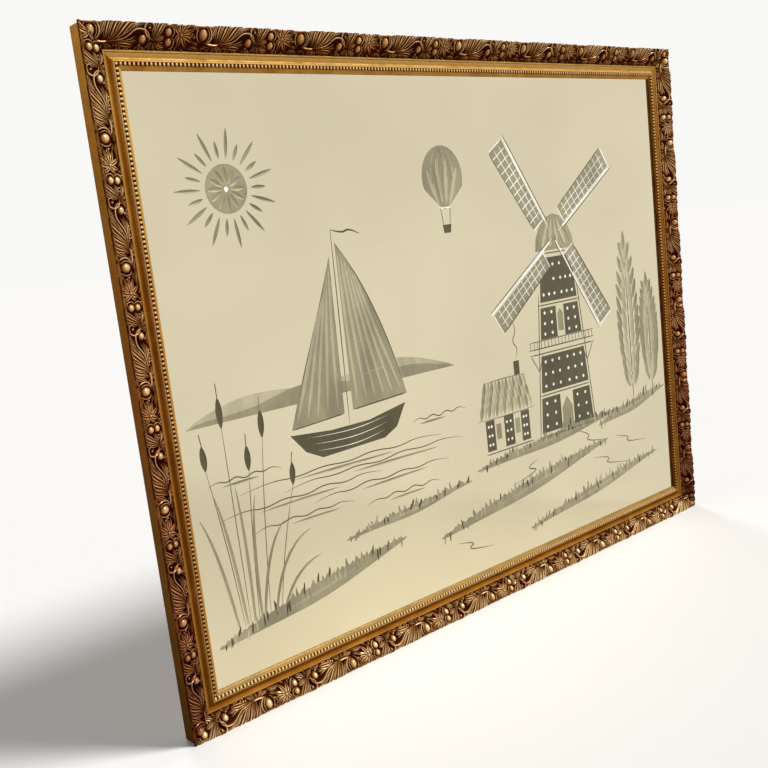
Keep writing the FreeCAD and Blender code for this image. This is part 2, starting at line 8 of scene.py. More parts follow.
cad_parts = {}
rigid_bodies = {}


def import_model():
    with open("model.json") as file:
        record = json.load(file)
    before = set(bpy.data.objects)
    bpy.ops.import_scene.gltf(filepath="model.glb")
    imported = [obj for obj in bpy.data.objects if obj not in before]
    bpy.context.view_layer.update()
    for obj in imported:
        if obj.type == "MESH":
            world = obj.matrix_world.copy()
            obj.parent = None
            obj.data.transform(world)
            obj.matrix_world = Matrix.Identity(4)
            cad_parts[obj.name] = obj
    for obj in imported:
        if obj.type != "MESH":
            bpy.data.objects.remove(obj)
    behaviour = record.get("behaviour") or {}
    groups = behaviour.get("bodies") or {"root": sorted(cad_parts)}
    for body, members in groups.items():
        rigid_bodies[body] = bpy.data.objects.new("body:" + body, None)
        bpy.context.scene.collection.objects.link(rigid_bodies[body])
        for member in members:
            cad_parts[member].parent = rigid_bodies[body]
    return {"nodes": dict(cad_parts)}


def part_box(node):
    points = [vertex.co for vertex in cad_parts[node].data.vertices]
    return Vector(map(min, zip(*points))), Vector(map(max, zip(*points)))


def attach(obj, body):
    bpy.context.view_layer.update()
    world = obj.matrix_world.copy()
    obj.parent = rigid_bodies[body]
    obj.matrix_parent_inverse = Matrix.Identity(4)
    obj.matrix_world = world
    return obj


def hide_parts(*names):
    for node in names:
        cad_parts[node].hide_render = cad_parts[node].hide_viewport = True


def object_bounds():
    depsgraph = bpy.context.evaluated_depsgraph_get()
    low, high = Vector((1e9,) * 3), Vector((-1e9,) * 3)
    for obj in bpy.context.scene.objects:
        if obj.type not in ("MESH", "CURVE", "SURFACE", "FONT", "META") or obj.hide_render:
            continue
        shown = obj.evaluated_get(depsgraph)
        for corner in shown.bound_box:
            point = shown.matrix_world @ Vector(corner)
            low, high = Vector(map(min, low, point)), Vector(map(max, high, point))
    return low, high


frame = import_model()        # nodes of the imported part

bl_info = {
    "name": "Engraved Wall Mirror",
    "version": (1, 0, 0),
    "blender": (4, 5, 0),
    "location": "3D View > Sidebar > Mirror",
    "description": "Gilded moulding, pressed ornament and engraved plate round a packed mirror frame",
    "category": "Object",
}

mm = 0.001
cad_low, cad_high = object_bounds()

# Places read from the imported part
wood_low, wood_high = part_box("rail_bottom")
upright_low, upright_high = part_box("rail_left")
plate_low, plate_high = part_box("mirror_glass")
sides = ("left", "right")

# Moulding sizes: "in" runs from the outer edge inward, "down" from the front plane rearward
frame_depth = 28 * mm
side_recess = 2.5 * mm
band_width = 25.2 * mm
bed_crown_in = 13.0 * mm
side_top_down = 7.525 * mm
bed_crown_down = 11.025 * mm
bed_end_down = 16.975 * mm
compo_thickness = 2.4 * mm
compo_edge_in = 0.4 * mm
pearl_middle_in = 37.7 * mm
pearl_middle_down = 13.9 * mm
pearl_cut_share = 0.45
cove_steps = 12

# The frame's outer edges and front plane follow from the wooden rails
left_x = wood_low.x - side_recess
right_x = wood_high.x + side_recess
bottom_z = upright_low.z - side_recess
top_z = upright_high.z + side_recess
front_y = wood_high.y - frame_depth
width = right_x - left_x
height = top_z - bottom_z

# Each rail is drawn lying along +X, its inner side towards +Z and its back towards +Y,
# then turned about Y: (length, turn, corner where it starts, distance to its first big berry)
rails = {
    "bottom": (width, 0, (left_x, bottom_z), 99.5 * mm),
    "right": (height, -90, (right_x, bottom_z), 106.5 * mm),
    "top": (width, 180, (right_x, top_z), 97.5 * mm),
    "left": (height, 90, (left_x, top_z), 110.8 * mm),
}
# Painted light and shade: how much lighter or darker each rail is made by the way it faces the light: cove (outer,
# inner side), ridge, lip (outer, inner side), ornament (outer, inner side) and pearls
painted_rail_shading = {
    "bottom": ((-0.34, -0.04), 0.12, (-0.02, -0.02), (-0.02, 0.02), 0.6),
    "right": ((-0.08, 0.04), -0.08, (-0.42, -0.8), (-0.12, 0.05), 0.08),
    "top": ((0.2, 0.2), 0.0, (-0.28, -0.42), (-0.04, -0.24), -0.04),
    "left": ((-0.18, -0.14), 0.12, (-0.2, -0.1), (-0.02, 0.11), 0.05),
}
# Painted shade: gold made darker and redder towards the floor: (share of the height, tint)
painted_height_shading = {
    "moulding": ((0.0, (0.68, 0.60, 0.5)), (0.3, (0.62, 0.52, 0.45)), (0.7, (0.78, 0.69, 0.65)), (0.9, (1, 1, 1))),
    "ornament": ((0.0, (0.42, 0.27, 0.26)), (0.2, (0.62, 0.43, 0.40)), (0.5, (0.90, 0.72, 0.66)),
                 (0.85, (1, 0.97, 0.94))),
    "pearls": ((0.0, (0.55, 0.48, 0.42)), (0.3, (0.68, 0.58, 0.52)), (0.85, (1, 1, 1))),
    "side": ((0.0, (0.2, 0.17, 0.07)), (0.25, (0.32, 0.26, 0.115)), (0.5, (0.43, 0.30, 0.13)),
             (0.8, (0.64, 0.54, 0.23)), (1.0, (1, 1, 1))),
}
# Leaves and berries reach this share of their height below the ground
buried_share = 0.2

# Camera at the viewer's place, with the two directions that turn it
camera_place = (-0.94300, -0.94785, -0.03121)
camera_forward = (0.62729, 0.75785, -0.17936)
camera_up = (0.20345, 0.06284, 0.97707)
# Each lamp is its name, the direction it stands in and its strength
lamps = (("key", (0.85, -0.8, 1.35), 3.1), ("fill", (-1.0, -0.8, 0.6), 0.2), ("back", (0.4, 1.0, 0.5), 1.0))
lamp_spread = math.radians(18)
room_strength = 0.21
floor_size = 60


class GildingSettings(bpy.types.PropertyGroup):
    """Colours of the gold, the antique wash and the raw back."""

    gold: bpy.props.FloatVectorProperty(
        name="Gold", description="Gold on the plain mouldings", subtype="COLOR", default=(0.66, 0.36, 0.085))
    deep_gold: bpy.props.FloatVectorProperty(
        name="Deep gold", description="Gold toned down in the cove", subtype="COLOR", default=(0.27, 0.095, 0.009))
    edge_gold: bpy.props.FloatVectorProperty(
        name="Edge gold", description="Rubbed gold on the mouldings' edges", subtype="COLOR",
        default=(0.56, 0.43, 0.18))
    leaf_gold: bpy.props.FloatVectorProperty(
        name="Leaf gold", description="Gold high on the leaves", subtype="COLOR", default=(0.46, 0.218, 0.058))
    crest: bpy.props.FloatVectorProperty(
        name="Crest", description="Rubbed gold on the leaves' crests", subtype="COLOR", default=(0.92, 0.75, 0.43))
    bronze: bpy.props.FloatVectorProperty(
        name="Bronze", description="Toned gold on the slopes", subtype="COLOR", default=(0.155, 0.041, 0.009))
    wash: bpy.props.FloatVectorProperty(
        name="Antique wash", description="Dark wash in the hollows", subtype="COLOR", default=(0.052, 0.008, 0.002))
    umber: bpy.props.FloatVectorProperty(
        name="Umber", description="Brown tone in the grooves", subtype="COLOR", default=(0.065, 0.020, 0.002))
    side: bpy.props.FloatVectorProperty(
        name="Side", description="Toned gold on the outer side", subtype="COLOR", default=(0.58, 0.265, 0.035))
    raw_wood: bpy.props.FloatVectorProperty(
        name="Raw wood", description="Bare wood at the back", subtype="COLOR", default=(0.55, 0.40, 0.24))


class OrnamentSettings(bpy.types.PropertyGroup):
    """Sizes of the pressed ornament and the pearl row."""

    repeat: bpy.props.FloatProperty(
        name="Repeat", description="Length of one pressing", unit="LENGTH", default=127.4 * mm)
    overhang: bpy.props.FloatProperty(
        name="Overhang", description="Share of a leaf's reach past the outer edge that is kept", default=0.12)
    pearl_pitch: bpy.props.FloatProperty(
        name="Pearl pitch", description="Distance between pearls", unit="LENGTH", default=4.9 * mm)
    pearl_radius: bpy.props.FloatProperty(
        name="Pearl radius", description="Half a pearl's width", unit="LENGTH", default=1.95 * mm)


class StageSettings(bpy.types.PropertyGroup):
    """Floor, light and lens."""

    floor: bpy.props.FloatVectorProperty(
        name="Floor", description="Colour of the floor", subtype="COLOR", default=(0.86, 0.85, 0.83))
    backdrop: bpy.props.FloatVectorProperty(
        name="Backdrop", description="Colour of what the plate reflects", subtype="COLOR",
        default=(0.95, 0.945, 0.93))
    lens: bpy.props.FloatProperty(name="Lens", description="Focal length in millimetres", default=45.56)
    lens_shift: bpy.props.FloatVectorProperty(
        name="Lens shift", description="Shift of the picture", size=2, default=(0.0059, 0.0330))


class NodeSketch:
    """A short way to lay out the nodes and links of one tree."""

    def __init__(self, tree):
        self.tree = tree

    def add(self, kind, **values):
        """A node with these settings and input values."""
        node = self.tree.nodes.new(kind)
        for key, value in values.items():
            if hasattr(node, key):
                setattr(node, key, value)
            else:
                node.inputs[key.replace("_", " ")].default_value = value
        return node

    def feed(self, socket, value):
        """Link another node's output to a socket, or set the socket to a number or colour."""
        if isinstance(value, bpy.types.NodeSocket):
            self.tree.links.new(value, socket)
        elif isinstance(value, (int, float)):
            socket.default_value = value
        else:
            socket.default_value = (*value, 1.0)

    def math(self, operation, first, second):
        node = self.add("ShaderNodeMath", operation=operation)
        self.feed(node.inputs[0], first)
        self.feed(node.inputs[1], second)
        return node.outputs[0]


class MaterialSketch(NodeSketch):
    """The nodes of one material, round its own shader."""

    def __init__(self, name):
        self.material = bpy.data.materials.new(name)
        self.material.use_nodes = True
        super().__init__(self.material.node_tree)
        self.shader = self.tree.nodes["Principled BSDF"]

    def place(self):
        return self.add("ShaderNodeTexCoord").outputs["Object"]

    def ramp(self, source, stops):
        """A colour ramp over (place, colour) stops."""
        node = self.add("ShaderNodeValToRGB")
        elements = node.color_ramp.elements
        while len(elements) < len(stops):
            elements.new(0.5)
        for element, (place, colour) in zip(elements, stops):
            element.position = place
            element.color = (*colour, 1.0)
        self.feed(node.inputs["Fac"], source)
        return node.outputs["Color"]

    def noise(self, scale, detail=3.0, roughness=0.55, stretch=(1, 1, 1)):
        """Noise over Object coordinates, drawn out along an axis where stretch is small."""
        mapping = self.add("ShaderNodeMapping", Scale=stretch)
        self.feed(mapping.inputs["Vector"], self.place())
        node = self.add("ShaderNodeTexNoise", Scale=scale, Detail=detail, Roughness=roughness)
        self.feed(node.inputs["Vector"], mapping.outputs["Vector"])
        return node.outputs["Fac"]

    def spread(self, source, low, high):
        """Map a value from 0..1 to low..high."""
        node = self.add("ShaderNodeMapRange", To_Min=low, To_Max=high)
        self.feed(node.inputs["Value"], source)
        return node.outputs[0]

    def tint(self, first, second):
        """Multiply two colours."""
        node = self.add("ShaderNodeMix", data_type="RGBA", blend_type="MULTIPLY")
        for number, value in ((0, 1.0), (6, first), (7, second)):
            self.feed(node.inputs[number], value)
        return node.outputs[2]

    def bump(self, source, depth, strength):
        node = self.add("ShaderNodeBump", Strength=strength, Distance=depth)
        self.feed(node.inputs["Height"], source)
        self.feed(self.shader.inputs["Normal"], node.outputs["Normal"])

    def finish(self, colour, roughness, metallic, specular=0.5):
        self.feed(self.shader.inputs["Base Color"], colour)
        self.feed(self.shader.inputs["Roughness"], roughness)
        self.feed(self.shader.inputs["Metallic"], metallic)
        self.feed(self.shader.inputs["Specular IOR Level"], specular)
        return self.material


def gilding(name, hollow, dark, middle, bright, shade_towards_floor=(), gloss=0.25, patches=0.16):
    """Aged gold whose tone follows the crest attribute, from washed hollow to rubbed edge with any painted rail
    shade in it, and with painted shade towards the floor if asked.
    """
    sketch = MaterialSketch(name)
    blotches = sketch.noise(38, detail=4)
    grain = sketch.noise(420, detail=2)
    crest = sketch.add("ShaderNodeAttribute", attribute_name="crest").outputs["Fac"]
    worn = sketch.math("ADD", crest, sketch.spread(blotches, -patches, patches))
    toned = sketch.ramp(worn, [(0.16, hollow), (0.44, dark), (0.74, middle), (1.0, bright)])
    shade = sketch.ramp(grain, [(0.3, (0.82, 0.80, 0.76)), (0.7, (1.0, 1.0, 1.0))])
    colour = sketch.tint(toned, shade)
    # painted shade: darker and redder towards the floor
    if shade_towards_floor:
        parts = sketch.add("ShaderNodeSeparateXYZ")
        sketch.feed(parts.inputs[0], sketch.place())
        rise = sketch.math("DIVIDE", sketch.math("SUBTRACT", parts.outputs["Z"], bottom_z), height)
        colour = sketch.tint(colour, sketch.ramp(rise, shade_towards_floor))
    sketch.bump(sketch.math("ADD", sketch.math("MULTIPLY", blotches, 0.6), grain), 0.12 * mm, 0.5)
    return sketch.finish(colour, sketch.spread(worn, 0.6, 0.4 - 0.2 * gloss), sketch.spread(worn, 0.0, gloss), 0.0)


def bare_wood(name, stretch):
    """Planed softwood, its grain drawn out along the axis where stretch is small."""
    sketch = MaterialSketch(name)
    wood = Vector(bpy.context.scene.gilding.raw_wood)
    rings = sketch.noise(120, detail=5, stretch=stretch)
    colour = sketch.ramp(rings, [(0.35, wood * 0.72), (0.6, wood)])
    sketch.bump(rings, 0.1 * mm, 0.4)
    return sketch.finish(colour, 0.75, 0.0)


def steel(name, tint, roughness):
    """Sheet steel or wire with a fine uneven polish."""
    sketch = MaterialSketch(name)
    cloud = sketch.noise(260, detail=3)
    colour = sketch.ramp(cloud, [(0.3, Vector(tint) * 0.8), (0.7, tint)])
    sketch.bump(cloud, 0.03 * mm, 0.3)
    return sketch.finish(colour, sketch.spread(cloud, roughness, roughness + 0.15), 1.0)


def hardboard(name):
    """Pressed brown board with the mark of its wire screen."""
    sketch = MaterialSketch(name)
    fibre = sketch.noise(90, detail=5)
    waves = []
    for axis in ("X", "Z"):
        wave = sketch.add("ShaderNodeTexWave", bands_direction=axis, Scale=160.0, Distortion=1.5)
        sketch.feed(wave.inputs["Vector"], sketch.place())
        waves.append(wave.outputs["Fac"])
    screen = sketch.math("MULTIPLY", waves[0], waves[1])
    colour = sketch.ramp(fibre, [(0.3, (0.25, 0.15, 0.08)), (0.7, (0.36, 0.23, 0.13))])
    sketch.bump(screen, 0.25 * mm, 0.8)
    return sketch.finish(colour, 0.8, 0.0)


def pressed_fibre(name, tint, scale):
    """Cork, card or rubber: matt, with a fleck at the given scale."""
    sketch = MaterialSketch(name)
    fleck = sketch.noise(scale, detail=4, roughness=0.7)
    colour = sketch.ramp(fleck, [(0.3, Vector(tint) * 0.6), (0.65, tint)])
    sketch.bump(fleck, 0.15 * mm, 0.5)
    return sketch.finish(colour, 0.85, 0.0)


def silvering():
    """Silver toned warm and darker with a broad cloud, partly a painted reflection of a cream room, seen through
    clear glass.
    """
    sketch = MaterialSketch("silvering")
    cloud = sketch.noise(3, detail=2)
    colour = sketch.ramp(cloud, [(0.3, (0.68, 0.61, 0.43)), (0.7, (0.77, 0.69, 0.485))])
    return sketch.finish(colour, 0.02, 1.0)


def ground_glass(name, tint, roughness):
    """The wheel-ground surface of a cut."""
    sketch = MaterialSketch(name)
    grain = sketch.noise(700, detail=2)
    cloud = sketch.noise(26, detail=3, stretch=(1, 1, 0.4))
    both = sketch.math("ADD", sketch.math("MULTIPLY", grain, 0.25), sketch.math("MULTIPLY", cloud, 0.75))
    colour = sketch.ramp(both, [(0.35, Vector(tint) * 0.76), (0.65, Vector(tint) * 1.25)])
    return sketch.finish(colour, roughness, 0.25)


def clear_selection():
    for obj in bpy.context.selected_objects:
        obj.select_set(False)


def pick(obj):
    """Make one object the active and only selected one."""
    clear_selection()
    obj.select_set(True)
    bpy.context.view_layer.objects.active = obj


def put_in_scene(obj):
    bpy.context.scene.collection.objects.link(obj)
    return obj


def duplicate(obj):
    """A copy with a mesh of its own."""
    twin = obj.copy()
    twin.data = obj.data.copy()
    return twin


def apply_modifier(obj, kind, **values):
    """Add a modifier with these settings and apply it."""
    pick(obj)
    bpy.ops.object.modifier_add(type=kind)
    modifier = obj.modifiers[-1]
    for key, value in values.items():
        setattr(modifier, key, value)
    bpy.ops.object.modifier_apply(modifier=modifier.name)


def repeat_along(obj, count, pitch):
    """Repeat a mesh along +X."""
    apply_modifier(obj, "ARRAY", count=count, use_relative_offset=False, use_constant_offset=True,
                   constant_offset_displace=(pitch, 0, 0))


def shape_all(obj, operator, **values):
    """Run one edit-mode operator on the whole of a mesh."""
    pick(obj)
    bpy.ops.object.mode_set(mode="EDIT")
    bpy.ops.mesh.select_all(action="SELECT")
    operator(**values)
    bpy.ops.object.mode_set(mode="OBJECT")


def face_outward(obj):
    shape_all(obj, bpy.ops.mesh.normals_make_consistent, inside=False)


def bake_place(obj):
    """Bake an object's place, turn and size into its mesh."""
    pick(obj)
    bpy.ops.object.transform_apply(location=True, rotation=True, scale=True)


def set_in_place(obj, rail):
    """Turn a piece drawn along +X into its rail's place."""
    turn, corner = rails[rail][1:3]
    obj.rotation_euler = (0, math.radians(turn), 0)
    obj.location = (corner[0], front_y, corner[1])
    bake_place(obj)


def mitre(obj, length):
    """Cut both ends at 45 degrees and close each cut shell."""
    for place, lean in ((0, -1), (length, 1)):
        shape_all(obj, bpy.ops.mesh.bisect, plane_co=(place, 0, 0), plane_no=(lean, 0, 1), clear_outer=True)
    shape_all(obj, bpy.ops.mesh.fill_holes, sides=0)
    face_outward(obj)


def store_crest(obj, values):
    """Keep how rubbed each point is, 0 in a hollow and 1 on a crest; the rails' painted light and shade is added to
    it as well.
    """
    attribute = obj.data.attributes.new("crest", "FLOAT", "POINT")
    attribute.data.foreach_set("value", values)


def join(pieces, name):
    """Join meshes into the first one."""
    clear_selection()
    for piece in pieces:
        piece.select_set(True)
    bpy.context.view_layer.objects.active = pieces[0]
    bpy.ops.object.join()
    pieces[0].name = name
    pieces[0].data.name = name
    return pieces[0]


def softened(corners, steps=3):
    """An outline in metres from corners (in, down, radius, crest) in millimetres, each rounded with a few points."""
    outline = []
    for number, (inward, down, radius, crest) in enumerate(corners):
        here = Vector((inward, down))
        before = Vector(corners[number - 1][:2]) - here
        after = Vector(corners[(number + 1) % len(corners)][:2]) - here
        if radius == 0:
            outline.append((inward * mm, down * mm, crest))
            continue
        start = here + before.normalized() * min(radius, before.length / 2)
        end = here + after.normalized() * min(radius, after.length / 2)
        for k in range(steps + 1):
            t = k / steps
            point = start * (1 - t) ** 2 + here * 2 * t * (1 - t) + end * t ** 2
            outline.append((point.x * mm, point.y * mm, crest))
    return outline


def moulding_outline(cove_shading, ridge_shading, lip_shading):
    """The wooden moulding's section, with how rubbed each point is and the rail's painted light and shade added to
    its cove, ridge and lip.
    """
    cove = []
    for k in range(1, cove_steps):
        t = k / cove_steps
        sag = 2.8 * 4 * t * (1 - t)
        # the cove is darker towards its middle, and made lighter or darker per rail as painted light and shade
        shade = 0.74 - 0.24 * math.sin(math.pi * t) ** 2 + cove_shading[0] + t * (cove_shading[1] - cove_shading[0])
        cove.append((27.0 + 7.9 * t, 13.1 - 0.6 * t + sag, 0, shade))
    # the fillet's rim follows the rail's painted light and shade
    rim = 0.76 + 0.4 * cove_shading[0]
    return softened([
        (1.2, 28.0, 2.0, 0.62), (1.2, 7.4, 0.2, 0.7), (2.5, 7.5, 0, 0.3), (13.0, 11.0, 0, 0.3), (24.6, 16.7, 0, 0.1),
        # the quirk's low value (0.42) paints a shade line between fillet and cove
        (24.6, 12.2, 0.6, rim - 0.06), (26.3, 12.2, 0.3, rim), (26.5, 13.0, 0.2, 0.42), (27.0, 13.1, 0, 0.5), *cove,
        (34.9, 12.5, 0.3, 0.80 + ridge_shading), (35.7, 12.5, 0.3, 0.74 + ridge_shading),
        (35.7, 14.1, 0, 0.02), (39.7, 14.1, 0, 0.02),
        (39.7, 13.3, 0.5, 0.80 + lip_shading[0]), (41.9, 14.45, 0, 0.92 + sum(lip_shading) / 2),
        (44.0, 16.0, 0.7, 0.98 + lip_shading[1]), (44.0, 17.5, 0.2, 0.3),
        (38.0, 17.5, 0, 0.5), (38.0, 28.0, 0.3, 0.5),
    ])


def extruded(outline, length, name):
    """A bar drawn along +X from a closed outline of (in, down, crest) points."""
    clear_selection()
    bpy.ops.mesh.primitive_circle_add(vertices=len(outline), radius=1, fill_type="NGON")
    bar = bpy.context.object
    bar.name = name
    for vertex, (inward, down, crest) in zip(bar.data.vertices, outline):
        vertex.co = (0, down, inward)
    store_crest(bar, [crest for inward, down, crest in outline])
    shape_all(bar, bpy.ops.mesh.extrude_region_move, TRANSFORM_OT_translate={"value": (length, 0, 0)})
    return bar


def smooth(obj, degrees):
    pick(obj)
    bpy.ops.object.shade_smooth_by_angle(angle=math.radians(degrees))


def ground_down(inward):
    """Depth of the ornament's ground below the front plane."""
    if inward <= side_recess:
        bed = side_top_down
    elif inward <= bed_crown_in:
        share = (inward - side_recess) / (bed_crown_in - side_recess)
        bed = side_top_down + share * (bed_crown_down - side_top_down)
    else:
        share = (inward - bed_crown_in) / (band_width - bed_crown_in)
        bed = bed_crown_down + share * (bed_end_down - bed_crown_down)
    return bed - compo_thickness


# One repeat of the ornament, in millimetres from its big berry and from the outer edge.
# A blank is a grid whose widths and heights run from root to tip, and its section from side to side.
# It is drawn this long and then stretched over its path.
blank_length = 40 * mm
blanks = {
    "leaf": {
        "rows": 9, "rounded": True,
        "widths": (0.22, 0.46, 0.78, 1.0, 1.0, 0.88, 0.14),
        "heights": (0.60, 0.78, 0.92, 1.0, 0.99, 0.92, 0.45),
        "section": (0.0, 0.85, 0.22, 1.0, 0.22, 0.85, 0.0),
        "crest": (0.0, 1.0, 0.0, 1.15, 0.0, 1.0, 0.0),
    },
    "leaflet": {
        "rows": 8, "rounded": False,
        "widths": (0.30, 0.72, 1.0, 0.86, 0.12),
        "heights": (0.70, 0.92, 1.0, 0.90, 0.40),
        "section": (0.0, 0.85, 0.45, 1.0, 0.45, 0.85, 0.0),
        "crest": (0.0, 0.85, 0.1, 1.15, 0.1, 0.85, 0.0),
    },
    "star": {
        "rows": 7, "rounded": True,
        "widths": (0.45, 0.80, 1.0, 0.92, 0.72, 0.45, 0.08),
        "heights": (0.85, 1.0, 1.0, 0.92, 0.78, 0.58, 0.25),
        "section": (0.0, 0.95, 0.40, 0.95, 0.0),
        "crest": (0.0, 1.05, 0.0, 1.05, 0.0),
    },
    "strand": {
        "rows": 24, "rounded": False,
        "widths": (0.55, 0.95, 1.0, 1.0, 0.98, 0.85, 0.25),
        "heights": (0.60, 0.95, 1.0, 1.0, 1.0, 0.88, 0.30),
        "section": (0.0, 0.82, 1.0, 0.82, 0.0),
        "crest": (0.0, 0.45, 1.1, 0.45, 0.0),
    },
}
# Each motif is its blank, width, height and the points that it bends along, root first.
motifs = [
    ("strand", 3.6, 4.2, ((125.0, 17.4), (115.6, 15.6), (115.4, 4.0), (122.6, -0.8))),
    ("strand", 2.2, 5.0, ((126.8, 17.0), (119.2, 15.6), (118.8, 4.0), (125.2, 1.0))),
    ("strand", 2.2, 3.6, ((131.0, 16.4), (137.0, 14.4), (136.6, 4.4), (130.6, 0.6))),
    ("star", 6.2, 4.8, ((26.4, 10.6), (28.4, 13.4), (30.4, 17.2), (29.4, 22.6))),
    ("star", 6.2, 4.8, ((25.6, 10.8), (24.6, 14.6), (22.4, 18.8), (18.0, 23.2))),
    ("star", 5.8, 4.6, ((25.0, 10.6), (20.8, 12.8), (15.8, 13.8), (9.6, 17.2))),
    ("star", 5.2, 4.6, ((24.8, 10.0), (19.0, 10.8), (13.2, 11.0), (6.8, 8.4))),
    ("star", 5.2, 4.6, ((24.8, 9.4), (20.0, 7.4), (14.0, 6.2), (7.0, 2.4))),
    ("star", 5.6, 4.8, ((25.2, 9.0), (23.2, 5.6), (19.0, 1.4), (12.4, -3.6))),
    ("star", 6.2, 4.8, ((26.2, 8.8), (27.8, 6.0), (26.6, 1.0), (21.4, -3.6))),
    ("star", 5.4, 4.6, ((26.8, 9.2), (30.6, 7.4), (33.0, 3.4), (32.2, -3.4))),
    ("star", 5.2, 4.6, ((26.8, 10.2), (30.0, 11.0), (32.8, 13.0), (34.8, 18.2))),
    ("strand", 2.2, 3.2, ((40.6, 23.2), (33.4, 21.6), (33.6, 13.8), (38.6, 12.2))),
    ("strand", 2.2, 3.4, ((38.6, 12.4), (32.8, 11.0), (33.2, 3.6), (38.6, 0.4))),
    ("leaf", 8.8, 6.0, ((60.6, 16.2), (52.6, 13.6), (53.0, 1.6), (40.4, -4.4))),
    ("leaf", 5.0, 4.6, ((58.0, 15.2), (52.4, 15.6), (49.6, 12.8), (44.6, 11.6))),
    ("leaf", 5.6, 4.2, ((58.6, 16.8), (54.0, 20.4), (50.4, 22.2), (44.2, 21.6))),
    ("leaf", 6.6, 5.4, ((60.4, 15.6), (56.4, 10.6), (58.0, 2.0), (50.8, -4.4))),
    ("leaflet", 4.4, 3.8, ((58.6, 16.2), (62.0, 18.2), (64.0, 22.0), (69.8, 23.2))),
    ("leaflet", 4.0, 3.6, ((59.4, 17.6), (59.2, 20.4), (58.4, 22.6), (55.6, 25.2))),
    ("leaflet", 3.6, 3.2, ((60.4, 17.8), (62.2, 20.6), (62.8, 22.6), (62.2, 25.4))),
    ("strand", 3.6, 4.8, ((58.8, 15.4), (65.2, 14.0), (70.2, 7.2), (66.4, -1.2), (58.0, -0.8), (57.0, 6.2),
                          (62.4, 8.0), (63.4, 4.4))),
    ("strand", 3.4, 5.0, ((106.4, 17.6), (97.4, 16.8), (90.4, 15.4), (84.4, 10.4), (77.6, 5.4), (68.2, 6.0),
                          (62.6, 11.2), (62.8, 18.6), (67.6, 22.4))),
    ("strand", 2.6, 4.2, ((100.6, 15.4), (91.4, 13.2), (86.4, 7.8), (79.8, 4.6))),
    ("strand", 2.2, 3.6, ((99.6, 17.4), (91.0, 17.8), (84.0, 16.2), (76.6, 11.4))),
    ("leaflet", 4.2, 3.4, ((88.0, 17.6), (83.6, 17.6), (80.4, 16.2), (75.8, 16.6))),
    ("leaf", 5.2, 4.0, ((88.6, 9.8), (82.2, 5.2), (78.4, 1.6), (70.4, 0.4))),
    ("leaf", 7.8, 5.0, ((103.8, 18.2), (95.6, 20.4), (90.4, 17.6), (80.0, 21.2))),
    ("leaf", 10.8, 6.0, ((108.2, 17.8), (93.6, 15.6), (93.2, 1.2), (76.4, -4.6))),
    ("leaf", 9.8, 6.4, ((111.2, 17.8), (101.4, 14.8), (105.0, 2.4), (91.8, -4.8))),
    ("leaf", 8.4, 6.2, ((114.4, 17.8), (108.4, 13.6), (112.6, 2.4), (101.6, -4.8))),
    ("leaf", 6.2, 5.2, ((122.8, 16.2), (116.6, 14.8), (115.8, 6.0), (109.0, -3.2))),
    ("strand", 4.4, 5.4, ((108.4, 17.6), (112.8, 19.2), (118.4, 19.4), (125.6, 16.8))),
    ("leaflet", 4.6, 3.4, ((112.6, 18.4), (109.2, 20.8), (107.0, 22.0), (101.6, 23.2))),
    ("leaflet", 4.4, 3.4, ((113.4, 18.4), (111.6, 21.2), (110.6, 23.0), (107.2, 25.4))),
    ("leaflet", 4.4, 3.4, ((114.4, 18.4), (115.4, 21.0), (115.8, 23.0), (114.0, 25.4))),
    ("leaflet", 4.0, 3.2, ((117.2, 19.0), (119.6, 21.6), (121.6, 23.0), (125.8, 25.2))),
    ("leaflet", 4.0, 3.2, ((119.0, 18.6), (123.0, 20.6), (126.4, 21.4), (132.2, 21.6))),
    ("leaflet", 4.8, 3.4, ((19.4, 22.4), (13.4, 20.2), (9.4, 20.2), (2.6, 24.2))),
    ("leaflet", 3.6, 3.0, ((13.6, 16.0), (10.0, 16.4), (7.4, 18.0), (4.4, 18.2))),
    ("leaflet", 3.6, 3.0, ((26.6, 21.4), (26.2, 22.8), (25.0, 24.0), (21.8, 25.4))),
    ("leaflet", 3.4, 3.0, ((31.2, 19.4), (32.6, 21.2), (33.2, 22.8), (32.4, 25.4))),
    ("leaflet", 3.6, 3.0, ((73.2, 20.4), (71.8, 22.0), (70.4, 23.6), (66.4, 25.2))),
    ("leaflet", 3.4, 3.0, ((73.6, 20.4), (74.2, 22.0), (74.4, 23.4), (73.2, 25.6))),
    ("leaflet", 3.4, 3.0, ((74.0, 20.2), (76.2, 21.6), (77.6, 23.0), (80.8, 24.8))),
    ("leaflet", 5.0, 3.6, ((41.0, 4.6), (36.4, 1.6), (33.8, 0.2), (28.4, -3.6))),
    ("leaflet", 5.4, 3.6, ((78.6, 4.6), (74.0, 2.2), (70.4, -0.8), (65.0, -3.6))),
    ("leaflet", 5.0, 3.4, ((131.6, 6.0), (136.6, 2.6), (139.4, -0.6), (144.4, -3.6))),
    ("leaflet", 5.0, 3.6, ((49.4, 5.0), (46.0, 2.0), (44.6, -1.0), (39.6, -3.6))),
]
